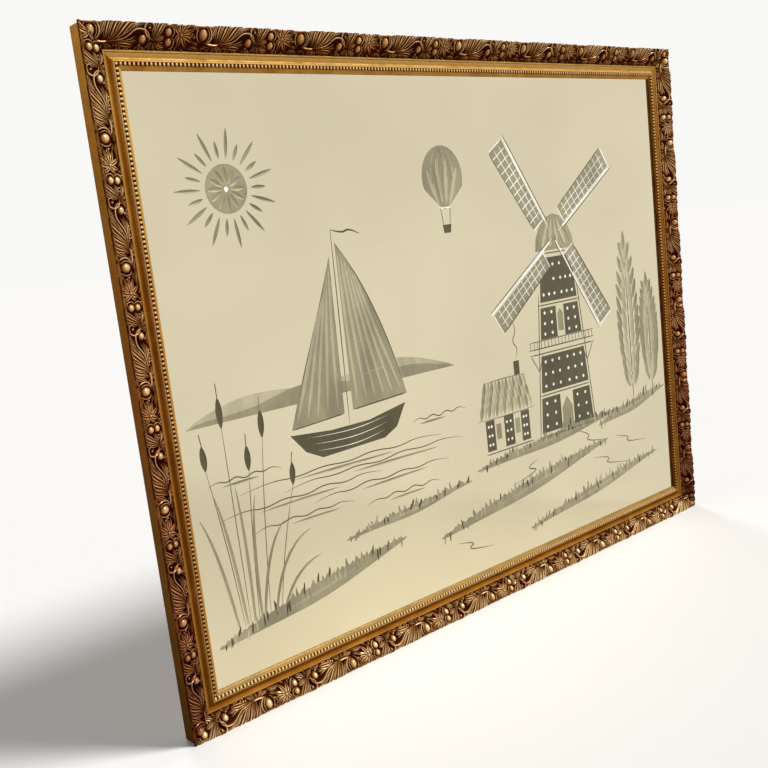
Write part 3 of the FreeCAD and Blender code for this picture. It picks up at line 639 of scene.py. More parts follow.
# A berry is its place, half length, half width and height. The seeds up to this half length are drawn coarser.
seed_half_length = 1.4
berries = [
    (127.4, 9.0, 5.4, 6.2, 6.6),
    (41.0, 16.9, 4.2, 4.3, 4.8),
    (40.8, 7.8, 4.3, 4.4, 5.0),
    (70.5, 14.9, 4.4, 4.6, 5.6),
    (26.0, 9.9, 1.9, 1.9, 4.8),
    (62.4, 4.6, 1.5, 1.5, 4.4),
    (73.6, 20.0, 1.3, 1.3, 3.0),
    (98.7, 21.6, 1.2, 1.2, 2.4),
    (95.4, 23.0, 1.1, 1.1, 2.2),
    (101.6, 20.8, 1.0, 1.0, 2.0),
    (98.2, 24.2, 1.0, 1.0, 2.0),
    (117.6, 17.4, 1.4, 1.4, 3.0),
    (137.6, 11.6, 1.4, 1.4, 2.8),
    (139.4, 8.6, 1.1, 1.1, 2.4),
    (36.0, 23.8, 1.0, 1.0, 2.0),
    (48.4, 17.4, 1.2, 1.2, 2.8),
    (51.6, 17.6, 1.0, 1.0, 2.4),
    (86.6, 23.4, 1.0, 1.0, 2.0),
    (89.8, 23.8, 1.0, 1.0, 2.0),
    (72.8, 0.8, 0.9, 0.9, 2.4),
]


def sampled(values, share):
    """The value at a share of the way through an evenly spaced list."""
    place = share * (len(values) - 1)
    number = min(int(place), len(values) - 2)
    return values[number] + (place - number) * (values[number + 1] - values[number])


def leaf_blank(rows, rounded, widths, heights, section, crest):
    """A straight leaf or strand of unit length, width and height, shaped row by row."""
    columns = len(section)
    clear_selection()
    bpy.ops.mesh.primitive_grid_add(x_subdivisions=rows - 1, y_subdivisions=columns - 1, size=1,
                                    location=(0.5, 0, 1))
    blank = bpy.context.object
    bake_place(blank)
    values = []
    for vertex in blank.data.vertices:
        rise = sampled(heights, vertex.co.x)
        column = round((vertex.co.y + 0.5) * (columns - 1))
        vertex.co.y *= sampled(widths, vertex.co.x)
        vertex.co.z = rise * section[column]
        values.append(rise * crest[column])
    store_crest(blank, values)
    if rounded:
        apply_modifier(blank, "SUBSURF", levels=1, render_levels=1)
    bpy.ops.object.mode_set(mode="EDIT")
    bpy.ops.mesh.select_all(action="SELECT")
    bpy.ops.mesh.region_to_loop()
    bpy.ops.mesh.extrude_edges_move(TRANSFORM_OT_translate={"value": (0, 0, -buried_share)})
    bpy.ops.mesh.edge_face_add()
    bpy.ops.object.mode_set(mode="OBJECT")
    face_outward(blank)
    return blank


def bent_motif(blank, breadth, rise, path):
    """A copy of a blank, sized and bent along its path."""
    guide_data = bpy.data.curves.new("guide", "CURVE")
    guide_data.dimensions = "2D"
    guide_data.use_stretch = True
    guide_data.use_deform_bounds = True
    guide_data.resolution_u = 16
    spline = guide_data.splines.new("NURBS")
    spline.points.add(len(path) - 1)
    for point, (along, inward) in zip(spline.points, path):
        point.co = (along * mm, inward * mm, 0, 1)
    spline.order_u = 4
    spline.use_endpoint_u = True
    guide = put_in_scene(bpy.data.objects.new("guide", guide_data))
    motif = put_in_scene(duplicate(blank))
    motif.data.transform(Matrix.Diagonal((blank_length, breadth * mm, rise * mm, 1)))
    apply_modifier(motif, "CURVE", object=guide, deform_axis="POS_X")
    bpy.data.objects.remove(guide)
    return motif


def domed_berry(along, inward, half_length, half_width, rise):
    """A berry, egg-shaped above and cut off below the ground."""
    segments = 16 if half_length > seed_half_length else 8
    clear_selection()
    bpy.ops.mesh.primitive_uv_sphere_add(segments=segments, ring_count=segments // 2 + 4, radius=1)
    berry = bpy.context.object
    shape_all(berry, bpy.ops.mesh.bisect, plane_co=(0, 0, -buried_share), plane_no=(0, 0, -1), clear_outer=True,
              use_fill=True)
    store_crest(berry, [0.2 + 0.75 * max(vertex.co.z, 0) for vertex in berry.data.vertices])
    berry.scale = (half_length * mm, half_width * mm, rise * mm)
    berry.location = (along * mm, inward * mm, 0)
    bake_place(berry)
    return berry


def ornament_unit():
    """One repeat of the ornament, laid over the moulding's sloping bed."""
    shaped = {kind: leaf_blank(**shape) for kind, shape in blanks.items()}
    pieces = [bent_motif(shaped[kind], breadth, rise, path) for kind, breadth, rise, path in motifs]
    pieces += [domed_berry(*berry) for berry in berries]
    for blank in shaped.values():
        bpy.data.objects.remove(blank)
    unit = join(pieces, "ornament_unit")
    unit.rotation_euler = (math.pi / 2, 0, 0)
    bake_place(unit)
    overhang = bpy.context.scene.ornament.overhang
    for vertex in unit.data.vertices:
        vertex.co.y += ground_down(vertex.co.z)
        if vertex.co.z < 0:
            vertex.co.z *= overhang
    return unit


def ground_outline():
    """Section of the ornament's ground strip with its lap over the outer edge."""
    edge = compo_edge_in / mm
    corners = [(edge, 7.5, 0.2, 0.5), (edge, 2.8, 0.7, 0.62), (2.2, 3.2, 0.5, 0.5)]
    corners += [(inward, ground_down(inward * mm) / mm, 0, 0.0) for inward in (3.8, 7.5, 13.0, 19.0, 25.2)]
    corners += [(25.2, 17.0, 0, 0.0), (13.0, 11.0, 0, 0.0), (2.5, 7.5, 0, 0.2)]
    return softened(corners)


def ornament_run(rail, unit):
    """The repeats along one rail on their ground strip, cut to the mitres."""
    length, first_berry = rails[rail][0], rails[rail][3]
    repeat = bpy.context.scene.ornament.repeat
    run = put_in_scene(duplicate(unit))
    start = first_berry - repeat
    while start > 0:
        start -= repeat
    run.data.transform(Matrix.Translation((start - repeat, 0, 0)))
    repeat_along(run, math.ceil((length - start) / repeat) + 1, repeat)
    strip = extruded(ground_outline(), length, "strip")
    run = join([run, strip], "carved_ornament_" + rail)
    mitre(run, length)
    # Painted light and shade: the rail's ornament made lighter or darker from its outer to its inner edge, by the
    # way it faces the light
    outer, inner = painted_rail_shading[rail][3]
    for vertex, entry in zip(run.data.vertices, run.data.attributes["crest"].data):
        entry.value += outer + (inner - outer) * vertex.co.z / band_width
    set_in_place(run, rail)
    smooth(run, 50)
    return run


def pearl_row(rail):
    """The pearls along one rail, from the corner where it starts to just before the next one."""
    settings = bpy.context.scene.ornament
    run = rails[rail][0] - 2 * pearl_middle_in
    count = round(run / settings.pearl_pitch)
    clear_selection()
    bpy.ops.mesh.primitive_uv_sphere_add(segments=8, ring_count=8, radius=1)
    pearl = bpy.context.object
    shape_all(pearl, bpy.ops.mesh.bisect, plane_co=(0, pearl_cut_share, 0), plane_no=(0, 1, 0), clear_outer=True,
              use_fill=True)
    # Painted light and shade: the rail's pearls made lighter or darker by the way the rail faces the light
    tone = painted_rail_shading[rail][4]
    store_crest(pearl, [0.1 + tone + (0.95 - tone) * max(-vertex.co.y, 0) for vertex in pearl.data.vertices])
    radius = settings.pearl_radius
    pearl.scale = (radius * 0.86, radius, radius * 1.2)
    pearl.location = (pearl_middle_in, pearl_middle_down, pearl_middle_in)
    bake_place(pearl)
    repeat_along(pearl, count, run / count)
    pearl.name = "pearl_row_" + rail
    set_in_place(pearl, rail)
    smooth(pearl, 80)
    return pearl


# The picture: points closer than this are one, and a stroke is this share as deep as half its breadth
weld_distance = 0.001 * mm
stroke_flatness = 0.7


class PlateCuts:
    """Closed solids to be ground out of the plate; places are millimetres right and up of its middle."""

    def __init__(self):
        self.collection = bpy.data.collections.new("cuts")
        bpy.context.scene.collection.children.link(self.collection)
        self.face = Matrix.Translation(Vector((0, plate_low.y, (plate_low.z + plate_high.z) / 2)))
        self.finishes = {
            "frost": ground_glass("frosted", (0.30, 0.265, 0.16), 0.5),
            "pale": ground_glass("pale_frosted", (0.46, 0.41, 0.27), 0.5),
            "dark": ground_glass("dark_frosted", (0.085, 0.070, 0.030), 0.5),
            "bright": ground_glass("polished_cut", (0.93, 0.91, 0.82), 0.15),
            "line": ground_glass("line_cut", (0.10, 0.085, 0.04), 0.3),
        }
        self.lens = self.lens_blank()

    def lens_blank(self):
        """A pointed lens of unit half length, half depth and half breadth, lying along X."""
        clear_selection()
        bpy.ops.mesh.primitive_uv_sphere_add(segments=10, ring_count=10, radius=1)
        lens = bpy.context.object
        lens.rotation_euler = (0, math.pi / 2, 0)
        bake_place(lens)
        for vertex in lens.data.vertices:
            narrowing = math.sqrt(max(1 - vertex.co.x ** 2, 0)) ** 0.6
            vertex.co.y *= narrowing
            vertex.co.z *= narrowing
        bpy.ops.object.shade_smooth()
        return lens

    def keep(self, solid, finish):
        """Move a solid into the set of cuts with its finish."""
        for collection in list(solid.users_collection):
            collection.objects.unlink(solid)
        self.collection.objects.link(solid)
        solid.data.materials.clear()
        solid.data.materials.append(self.finishes[finish])

    def clear(self):
        for solid in list(self.collection.objects) + [self.lens]:
            bpy.data.objects.remove(solid)
        bpy.data.collections.remove(self.collection)

    def olive(self, u, v, length, breadth, angle, finish="frost", depth=1.1):
        """A lens-shaped cut centred at (u, v), turned anticlockwise by an angle in degrees."""
        solid = duplicate(self.lens)
        turn = Matrix.Rotation(-math.radians(angle), 4, "Y")
        size = Matrix.Diagonal((length / 2 * mm, depth * mm, breadth / 2 * mm, 1))
        solid.data.transform(self.face @ Matrix.Translation((u * mm, 0, v * mm)) @ turn @ size)
        self.keep(solid, finish)

    def blade(self, start, end, breadth, finish="frost", depth=1.3):
        """A lens-shaped cut from one point to another."""
        across, up = end[0] - start[0], end[1] - start[1]
        self.olive((start[0] + end[0]) / 2, (start[1] + end[1]) / 2, math.hypot(across, up), breadth,
                   math.degrees(math.atan2(up, across)), finish, depth)

    def blades(self, pairs, breadth, finishes=("frost", "pale"), depth=1.3):
        """Lens-shaped cuts side by side, their finishes in turn."""
        for number, (start, end) in enumerate(pairs):
            self.blade(start, end, breadth, finishes[number % len(finishes)], depth)

    def stroke(self, points, breadth, finish="line", tips=(0.3, 0.3)):
        """A V-shaped cut along a smooth line, narrowed towards its tips."""
        data = bpy.data.curves.new("stroke", "CURVE")
        data.dimensions = "3D"
        data.bevel_depth = breadth / 2 * mm
        data.bevel_resolution = 0
        data.use_fill_caps = True
        data.resolution_u = 4
        if len(points) == 2:
            points = [between(*points, share) for share in (0, 0.08, 0.92, 1)]
            widths = (tips[0], 1, 1, tips[1])
            spline = data.splines.new("POLY")
        else:
            shares = [number / (len(points) - 1) for number in range(len(points))]
            widths = [min(1, tips[0] + 4 * share, tips[1] + 4 * (1 - share)) for share in shares]
            spline = data.splines.new("NURBS")
        spline.points.add(len(points) - 1)
        for point, (u, v), width_share in zip(spline.points, points, widths):
            point.co = (u * mm, 0, v * mm, 1)
            point.radius = width_share
        spline.order_u = 3
        spline.use_endpoint_u = True
        pick(put_in_scene(bpy.data.objects.new("stroke", data)))
        bpy.ops.object.convert(target="MESH")
        solid = bpy.context.object
        shape_all(solid, bpy.ops.mesh.remove_doubles, threshold=weld_distance)
        solid.data.transform(self.face @ Matrix.Diagonal((1, stroke_flatness, 1, 1)))
        self.keep(solid, finish)

    def strokes(self, lines, breadth, finish="line", tips=(0.3, 0.3)):
        for points in lines:
            self.stroke(points, breadth, finish, tips)

    def panel(self, outline, finish="frost", depth=0.25):
        """A flat sunk field with upright edges, its block turned from along +X to into the plate."""
        solid = extruded([(v * mm, u * mm, 0) for u, v in outline], (depth + 1) * mm, "panel")
        inward = Matrix(((0, 1, 0, 0), (1, 0, 0, -mm), (0, 0, 1, 0), (0, 0, 0, 1)))
        solid.data.transform(self.face @ inward)
        face_outward(solid)
        self.keep(solid, finish)

    def dots(self, places, diameter, finish="bright"):
        for u, v in places:
            self.olive(u, v, diameter, diameter, 0, finish, 0.8)


def between(start, end, share):
    """The point at a share of the way from start to end."""
    return (start[0] + share * (end[0] - start[0]), start[1] + share * (end[1] - start[1]))


def polar(middle, reach, turn):
    """The point at a distance from a middle, turned anticlockwise by radians."""
    return (middle[0] + reach * math.cos(turn), middle[1] + reach * math.sin(turn))


def oblong(left, low, right, high):
    return [(left, low), (right, low), (right, high), (left, high)]


def windmill(cuts):
    """A tapering mill tower in dotted bands, with a cap, a gallery and four lattice sails."""
    middle, foot, top = 196, -178, 92
    hub = (middle, 112)
    turns = [math.radians(33 + 90 * quarter) for quarter in range(4)]

    def half(v):
        return 66 - 27 * (v - foot) / (top - foot)

    def clear_of_sails(place):
        across, up = place[0] - hub[0], place[1] - hub[1]
        for turn in turns:
            along = across * math.cos(turn) + up * math.sin(turn)
            aside = up * math.cos(turn) - across * math.sin(turn)
            if 30 < along < 178 and -6 < aside < 40:
                return False
        return True

    for low, high, gap in ((-172, -120, 15), (-112, -58, 0), (-34, 12, 9), (20, 84, 0)):
        for side in (-1, 1):
            cuts.panel([(middle + side * gap, low), (middle + side * (half(low) - 4), low),
                        (middle + side * (half(high) - 4), high), (middle + side * gap, high)], "dark", 0.32)
            columns = 2 if gap else 3
            for row in range(3):
                v = low + (row + 0.5) / 3 * (high - low)
                first = gap + 2
                step = (half(v) - 6 - first) / columns
                places = [(middle + side * (first + (c + 0.5) * step), v) for c in range(columns)]
                cuts.dots([place for place in places if clear_of_sails(place)], 5.5)
    for side, end in ((-1, 34), (1, 44)):
        cuts.stroke([(middle + side * half(v), v) for v in (foot, end)], 1.8)
    for v, reach in ((-178, 72), (-116, 60), (-46, 76), (-54, 76), (16, 49), (90, 24)):
        cuts.stroke([(middle - reach, v), (middle + reach, v)], 1.8)
    for k in range(-9, 10):
        cuts.stroke([(middle + 8 * k, -46), (middle + 8 * k, -35)], 1.2)
    cuts.stroke([(middle - 76, -35), (middle + 76, -35)], 1.4)
    for side in (-1, 1):
        for reach in (0.6, 0.95):
            cuts.stroke([(middle + side * half(-80), -80), (middle + side * 76 * reach, -55)], 1.6)
    door = [(middle - 12, -174), (middle + 12, -174), (middle + 12, -142), (middle, -126), (middle - 12, -142)]
    cuts.panel(door)
    for k in (-6, 0, 6):
        cuts.stroke([(middle + k, -172), (middle + k, -138)], 1.2)
    cuts.panel([(middle - 6, -26), (middle + 6, -26), (middle + 6, 0), (middle, 7), (middle - 6, 0)])
    cap = [(-44, 94), (44, 94), (41, 112), (31, 130), (15, 142), (0, 146), (-15, 142), (-31, 130), (-41, 112)]
    cuts.panel([(middle + u, v) for u, v in cap], depth=0.2)
    cuts.blades([((middle + 9.4 * k, 97), (middle + 2.6 * k, 141)) for k in range(-4, 5)], 7.4)
    for turn in turns:

        def place(along, aside):
            return (hub[0] + along * math.cos(turn) - aside * math.sin(turn),
                    hub[1] + along * math.sin(turn) + aside * math.cos(turn))

        cuts.panel([place(34, 4), place(172, 4), place(172, 36), place(34, 28)], "frost", 0.42)
        cuts.stroke([place(0, 0), place(176, 0)], 3.4, "bright")
        cuts.stroke([place(0, -2.8), place(176, -2.8)], 1.6)
        for k in range(12):
            along = 34 + 12.5 * k
            cuts.stroke([place(along, 3), place(along, 29 + 8 * k / 11)], 2.5, "bright")
        for share in (0.35, 0.68, 1.0):
            cuts.stroke([place(34, 28 * share), place(172, 36 * share)], 2.4, "bright" if share < 1 else "line")
    cuts.dots([hub], 15, "dark")
    cuts.dots([hub], 7)


def cottage(cuts):
    """A thatched cottage with a dotted wall beside the mill."""
    for left, right in ((16, 34), (54, 74), (90, 108)):
        cuts.panel(oblong(left, -172, right, -128), "dark", 0.32)
        cuts.dots([(left + 6, -150), (right - 6, -150), (left + 6, -163), (right - 6, -163), (left + 6, -137),
                   (right - 6, -137)], 4.6)
    for left in (37, 77):
        cuts.panel(oblong(left, -158, left + 10, -136))
        cuts.stroke([(left + 5, -158), (left + 5, -136)], 1.0)
        cuts.stroke([(left, -147), (left + 10, -147)], 1.0)
    cuts.stroke([(12, -176), (114, -176)], 1.6)
    for row, (low, high) in enumerate(((-126, -104), (-112, -90), (-98, -76))):
        feet = [8 + 4 * row + 8.2 * k for k in range(14 - row)]
        cuts.blades([((foot, low), (foot + (62 - foot) * 0.12, high + 3)) for foot in feet], 7.4)
    cuts.stroke([(2, -126), (62, -129), (122, -126)], 1.8)
    cuts.stroke([(18, -76), (62, -72), (106, -76)], 2.0)
    cuts.panel(oblong(84, -74, 96, -54), "dark")
    cuts.stroke([(90, -50), (98, -38), (84, -26), (97, -10), (88, 6)], 1.6)


def boat(cuts):
    """A small sailing boat under main sail and jib."""
    hull = [(-312, -74), (-250, -80), (-190, -80), (-128, -70), (-146, -98), (-168, -108), (-268, -110),
            (-292, -98)]
    cuts.panel(hull, "dark", 0.34)
    for drop in (0, 9, 18):
        cuts.stroke([(-310 + drop, -80 - drop), (-250, -86 - drop), (-190, -86 - drop), (-132 - drop, -76 - drop)],
                    1.8, "bright")
    cuts.stroke([(-222, -78), (-218, 50), (-216, 158)], 2.4)
    cuts.stroke([(-216, 158), (-198, 152), (-188, 158), (-172, 150)], 2.6)
    head, tack, clew = (-212, 142), (-214, -62), (-124, -58)
    leech = [(-135, -16), (-150, 28), (-168, 70), (-188, 108)]
    cuts.panel([head, tack, clew, *leech], depth=0.3)
    for k in range(6):
        share = (k + 0.6) / 6
        cuts.blade(between(tack, clew, share), between(head, leech[-1], share), 6.2, "pale")
    for number, v in enumerate((-24, 16, 58, 98)):
        cuts.stroke([(-212, v), between((-212, v), leech[number], 0.5), leech[number]], 1.8, "bright")
    cuts.stroke([head, *reversed(leech), clew], 1.8)
    cuts.stroke([tack, clew], 2.2)
    peak, foot, forestay = (-223, 126), (-228, -64), ((-242, 78), (-268, 22), (-290, -26), (-308, -68))
    cuts.panel([peak, *forestay, foot], depth=0.3)
    for k in range(5):
        share = (k + 0.6) / 5
        cuts.blade(between(foot, forestay[-1], share), between(peak, forestay[0], share), 5.6, "pale")
    cuts.strokes(([peak, *forestay], [foot, forestay[-1]]), 1.8)


def shore(cuts):
    """Hills, ripples, grassy banks and a winding path."""
    for rise, waves, start, finish in ((36, 9.0, 0.6, "pale"), (22, 14.0, 2.4, "frost")):
        ridge = []
        for k in range(41):
            share = k / 40
            swell = math.sin(math.pi * share) ** 0.7 * (0.74 + 0.26 * math.sin(waves * share + start))
            ridge.append((-446 + 412 * share, -38 + rise * swell + 0.1))
        cuts.panel([(-446, -38.5), (-34, -38.5), *reversed(ridge)], finish, 0.14 if finish == "pale" else 0.2)
    random.seed(7)
    for v, left, right in ((-122, -390, -70), (-134, -330, -30), (-146, -420, -180), (-158, -290, -60),
                           (-172, -380, -230), (-184, -210, -80), (-98, -120, -20), (-104, -430, -330)):
        points = []
        for k in range(9):
            wave = 3.2 if k % 2 else -3.2
            points.append((left + (right - left) * k / 8, v + wave + random.uniform(-1, 1)))
        cuts.stroke(points, 1.5, tips=(0.2, 0.2))
        middle = (left + right) / 2 + random.uniform(-30, 30)
        cuts.olive(middle, v - 6, (right - left) * 0.5, 3.6, random.uniform(-1, 1))
    for start, end, thickness in (((-10, -194), (330, -172), 17), ((-90, -268), (290, -214), 22),
                                  ((-446, -292), (-150, -246), 24), ((268, -188), (450, -158), 18),
                                  ((90, -306), (420, -262), 16), ((-250, -222), (-20, -204), 12)):
        bank(cuts, start, end, thickness)
    path = (
        ((212, -184), (250, -196), (228, -206), (290, -214)), ((120, -206), (84, -214), (130, -222), (60, -232)),
        ((250, -236), (300, -244), (270, -252), (340, -262)), ((-60, -284), (-20, -290), (-50, -298), (10, -306)),
        ((310, -214), (350, -222), (330, -230), (390, -236)),
    )
    cuts.strokes(path, 2.0, tips=(0.2, 0.2))


def bank(cuts, start, end, thickness):
    """A long bank with a ragged grassy top."""
    steps = round(math.dist(start, end) / 4)
    lower, upper = [], []
    for k in range(steps + 1):
        share = k / steps
        u, v = between(start, end, share)
        swell = math.sin(math.pi * share) ** 0.6
        tuft = random.uniform(1, 11) * swell if k % 2 else 0
        lower.append((u, v - thickness * 0.45 * swell + 1.5 * math.sin(9 * share)))
        upper.append((u + random.uniform(-1.5, 1.5), v + thickness * 0.35 * swell + tuft + 0.2))
    cuts.panel(lower + upper[-2:0:-1], depth=0.2)
    k = 2
    while k < steps - 2:
        u, v = upper[k]
        low = v - thickness * random.uniform(0.3, 0.7)
        cuts.blade((u - random.uniform(-1, 2), low), (u + random.uniform(-3, 4), v + random.uniform(0, 7)),
                   random.uniform(2.4, 4), random.choice(("frost", "pale", "dark")), 0.9)
        k += random.choice((1, 2, 3))
    first, middle, last = (between(start, end, share) for share in (0.16, 0.5, 0.86))
    cuts.strokes([(first, (middle[0], middle[1] - thickness * drop), last) for drop in (0.05, 0.22)], 1.3, "bright",
                 (0.2, 0.2))


def poplars(cuts):
    """Two slender poplars of overlapping lens cuts."""
    random.seed(11)
    for middle, foot, top, breadth in ((364, -162, 104, 54), (418, -156, 34, 46)):
        cuts.stroke([(middle, foot - 6), (middle + 2, foot + 40), (middle, top - 20)], 3.4)
        rows = 11
        for row in range(rows):
            share = (row + 0.5) / rows
            v = foot + 24 + share * (top - foot - 46)
            reach = breadth / 2 * math.sin(math.pi * (0.12 + 0.83 * share)) ** 0.8
            for side in (-1, 1):
                for step in (0.35, 0.85):
                    lean = 90 - side * (8 + 16 * step) + random.uniform(-4, 4)
                    cuts.olive(middle + side * step * reach, v + random.uniform(-3, 3), 34, 9.5, lean,
                               "pale" if step < 0.5 else "frost")
        cuts.olive(middle, top - 14, 34, 9, 90)
        for row in range(6):
            v = foot + 36 + row * (top - foot - 70) / 6
            side = 1 if row % 2 else -1
            cuts.stroke([(middle, v), (middle + side * 7, v + 14), (middle + side * 12, v + 30)], 1.4, "bright")


def bulrushes(cuts):
    """Bulrushes with long blades at the water's edge."""
    for foot, tip, head in ((-408, (-430, -84), 30), (-400, (-402, -40), 36), (-388, (-374, -96), 30),
                            (-372, (-350, -62), 34), (-356, (-316, -128), 28)):
        middle = (foot + (tip[0] - foot) * 0.3, (tip[1] - 280) / 2)
        cuts.stroke([(foot, -276), middle, tip], 1.8)
        lean = 90 - (tip[0] - foot) * 0.12
        cuts.olive(tip[0], tip[1] + head * 0.35, head, 9, lean, "dark", 0.9)
        cuts.stroke([(tip[0], tip[1] + head * 0.8), (tip[0] + (tip[0] - foot) * 0.08, tip[1] + head * 1.3)], 1.2)
    for foot, middle, tip in ((-416, (-428, -180), (-446, -140)), (-404, (-412, -160), (-424, -120)),
                              (-394, (-390, -170), (-396, -110)), (-380, (-366, -190), (-336, -170)),
                              (-364, (-346, -200), (-300, -190)), (-384, (-384, -180), (-372, -130)),
                              (-352, (-330, -230), (-290, -226))):
        cuts.stroke([(foot, -276), middle, tip], 6.0, "frost", (0.5, 0.1))


def balloon(cuts):
    """A striped balloon with a little basket."""
    middle, low, high = -20, 168, 250
    girth = (low + high) / 2
    shape = []
    for k in range(25):
        turn = 2 * math.pi * (k + 0.5) / 25
        breadth = 37 if math.cos(turn) > -0.35 else 37 * (1 - 0.9 * (-0.35 - math.cos(turn)))
        shape.append((middle + breadth * math.sin(turn), girth + 41 * math.cos(turn)))
    cuts.panel(shape, depth=0.2)
    cuts.blades([((middle + 3.2 * k, low + 5), (middle + 9.4 * k, high - 8 - 6.4 * abs(k))) for k in range(-3, 4)],
                8.0, ("pale", "frost"), 0.9)
    for k in range(-3, 4):
        seam = [(middle + 2.6 * k, low + 6), (middle + 10.6 * k, girth + 2), (middle + 3 * k, high - 3)]
        cuts.stroke(seam, 1.3, "bright" if k % 2 else "line", (0.5, 0.5))
    for side in (-1, 1):
        cuts.stroke([(middle + side * 9, low + 3), (middle + side * 6, 148)], 1.2)
    cuts.panel([(middle - 8, 148), (middle + 8, 148), (middle + 6, 137), (middle - 6, 137)], "dark")
    cuts.stroke([(middle - 10, low + 2), (middle + 10, low + 2)], 2.0, "bright")


def sun(cuts):
    """A low sun with alternating rays."""
    middle = (-352, 214)
    turns = [2 * math.pi * k / 24 for k in range(24)]
    cuts.panel([polar(middle, 27, turn) for turn in turns], depth=0.2)
    for turn in turns[::2]:
        cuts.blade(polar(middle, 5, turn), polar(middle, 25, turn), 6.0, depth=1.4)
    cuts.dots([middle], 6)
    for ray in range(22):
        turn = 2 * math.pi * ray / 22
        cuts.blade(polar(middle, 32, turn), polar(middle, 66 if ray % 2 else 52, turn), 4.6)


def own(obj, slot_name, *nodes):
    """Let a finished piece ride on the frame and stand for its nodes."""
    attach(obj, "frame")
    if nodes:
        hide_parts(*nodes)
    return obj


def dress(nodes, material):
    """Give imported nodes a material, their shape kept as it is."""
    for node in nodes:
        obj = frame["nodes"][node]
        obj.data.materials.clear()
        obj.data.materials.append(material)


class MIRROR_OT_rails(bpy.types.Operator):
    """Draw the four moulding rails with softened edges and gild them"""

    bl_idname = "mirror.rails"
    bl_label = "Gilded rails"

    def execute(self, context):
        settings = context.scene.gilding
        hollows = settings.umber, settings.deep_gold
        # Painted shade: the uprights' gold darkens and reddens towards the floor
        upright_gold = gilding("gilded_upright_moulding", *hollows, settings.gold, settings.edge_gold,
                               painted_height_shading["moulding"])
        fronts = {
            "top": gilding("gilded_moulding", *hollows, settings.gold, settings.edge_gold),
            # Painted shade: the bottom rail gets darker copies of the gold and edge gold
            "bottom": gilding("shaded_bottom_moulding", *hollows, Vector(settings.gold) * 0.85,
                              Vector(settings.edge_gold) * 0.34),
            "left": upright_gold,
            "right": upright_gold,
        }
        # The outer side's toned gold, with painted shade towards the floor
        outer_side = gilding("toned_side", settings.umber, Vector(settings.side) * 0.5, settings.side, settings.gold,
                             painted_height_shading["side"])
        raw_across, raw_upright = bare_wood("raw_across", (0.06, 1, 1)), bare_wood("raw_upright", (1, 1, 0.06))
        for rail in rails:
            length = rails[rail][0]
            bar = extruded(moulding_outline(*painted_rail_shading[rail][:3]), length, "moulding_" + rail)
            for material in (fronts[rail], outer_side, raw_upright if rail in sides else raw_across):
                bar.data.materials.append(material)
            mitre(bar, length)
            for face in bar.data.polygons:
                down, inward = face.center.y / mm, face.center.z / mm
                if inward < 3.6 and down > 7.6:
                    face.material_index = 1  # the outer side, under the ornament's lap
                elif down > 27.5 or (inward > 37.5 and down > 17.3):
                    face.material_index = 2  # the back and the rebate
            set_in_place(bar, rail)
            smooth(bar, 30)
            own(bar, "gilt_wood", "rail_" + rail)
        return {"FINISHED"}


class MIRROR_OT_ornament(bpy.types.Operator):
    """Press the leaves, berries and scrolls and lay them round the frame"""

    bl_idname = "mirror.ornament"
    bl_label = "Pressed ornament"

    def execute(self, context):
        settings = context.scene.gilding
        tones = settings.wash, settings.bronze, settings.leaf_gold, settings.crest
        across = gilding("antiqued_ornament", *tones, gloss=0.5, patches=0.22)
        # painted shade: the uprights' ornament darkens and reddens towards the floor
        upright = gilding("antiqued_upright_ornament", *tones, painted_height_shading["ornament"], 0.5, 0.22)
        unit = ornament_unit()
        for rail in rails:
            run = ornament_run(rail, unit)
            run.data.materials.clear()
            run.data.materials.append(upright if rail in sides else across)
            own(run, "antiqued_ornament", "ornament_" + rail)
        bpy.data.objects.remove(unit)
        return {"FINISHED"}


class MIRROR_OT_pearls(bpy.types.Operator):
    """Set the row of pearls into the groove"""

    bl_idname = "mirror.pearls"
    bl_label = "Pearl rows"

    def execute(self, context):
        settings = context.scene.gilding
        tones = settings.umber, settings.deep_gold, (0.56, 0.29, 0.09), (0.92, 0.68, 0.38)
        across = gilding("pale_pearls", *tones)
        # painted shade: the uprights' pearls darken towards the floor
        upright = gilding("pale_upright_pearls", *tones, painted_height_shading["pearls"])
        for rail in rails:
            row = pearl_row(rail)
            row.data.materials.append(upright if rail in sides else across)
            own(row, "gilt_pearls", "pearl_strip_" + rail)
        return {"FINISHED"}


class MIRROR_OT_plate(bpy.types.Operator):
    """Silver the plate and grind the picture into its face"""

    bl_idname = "mirror.plate"
    bl_label = "Engraved plate"

    def execute(self, context):
        clear_selection()
        bpy.ops.mesh.primitive_cube_add(size=1, location=(plate_low + plate_high) / 2)
        plate = bpy.context.object
        plate.name = "engraved_plate"
        plate.scale = plate_high - plate_low
        bake_place(plate)
        plate.data.materials.append(silvering())
        cuts = PlateCuts()
        for motif in (windmill, cottage, boat, shore, poplars, bulrushes, sun, balloon):
            motif(cuts)
        apply_modifier(plate, "BOOLEAN", operation="DIFFERENCE", solver="MANIFOLD", operand_type="COLLECTION",
                       collection=cuts.collection, material_mode="TRANSFER")
        cuts.clear()
        own(plate, "silvered_glass", "mirror_glass")
        return {"FINISHED"}


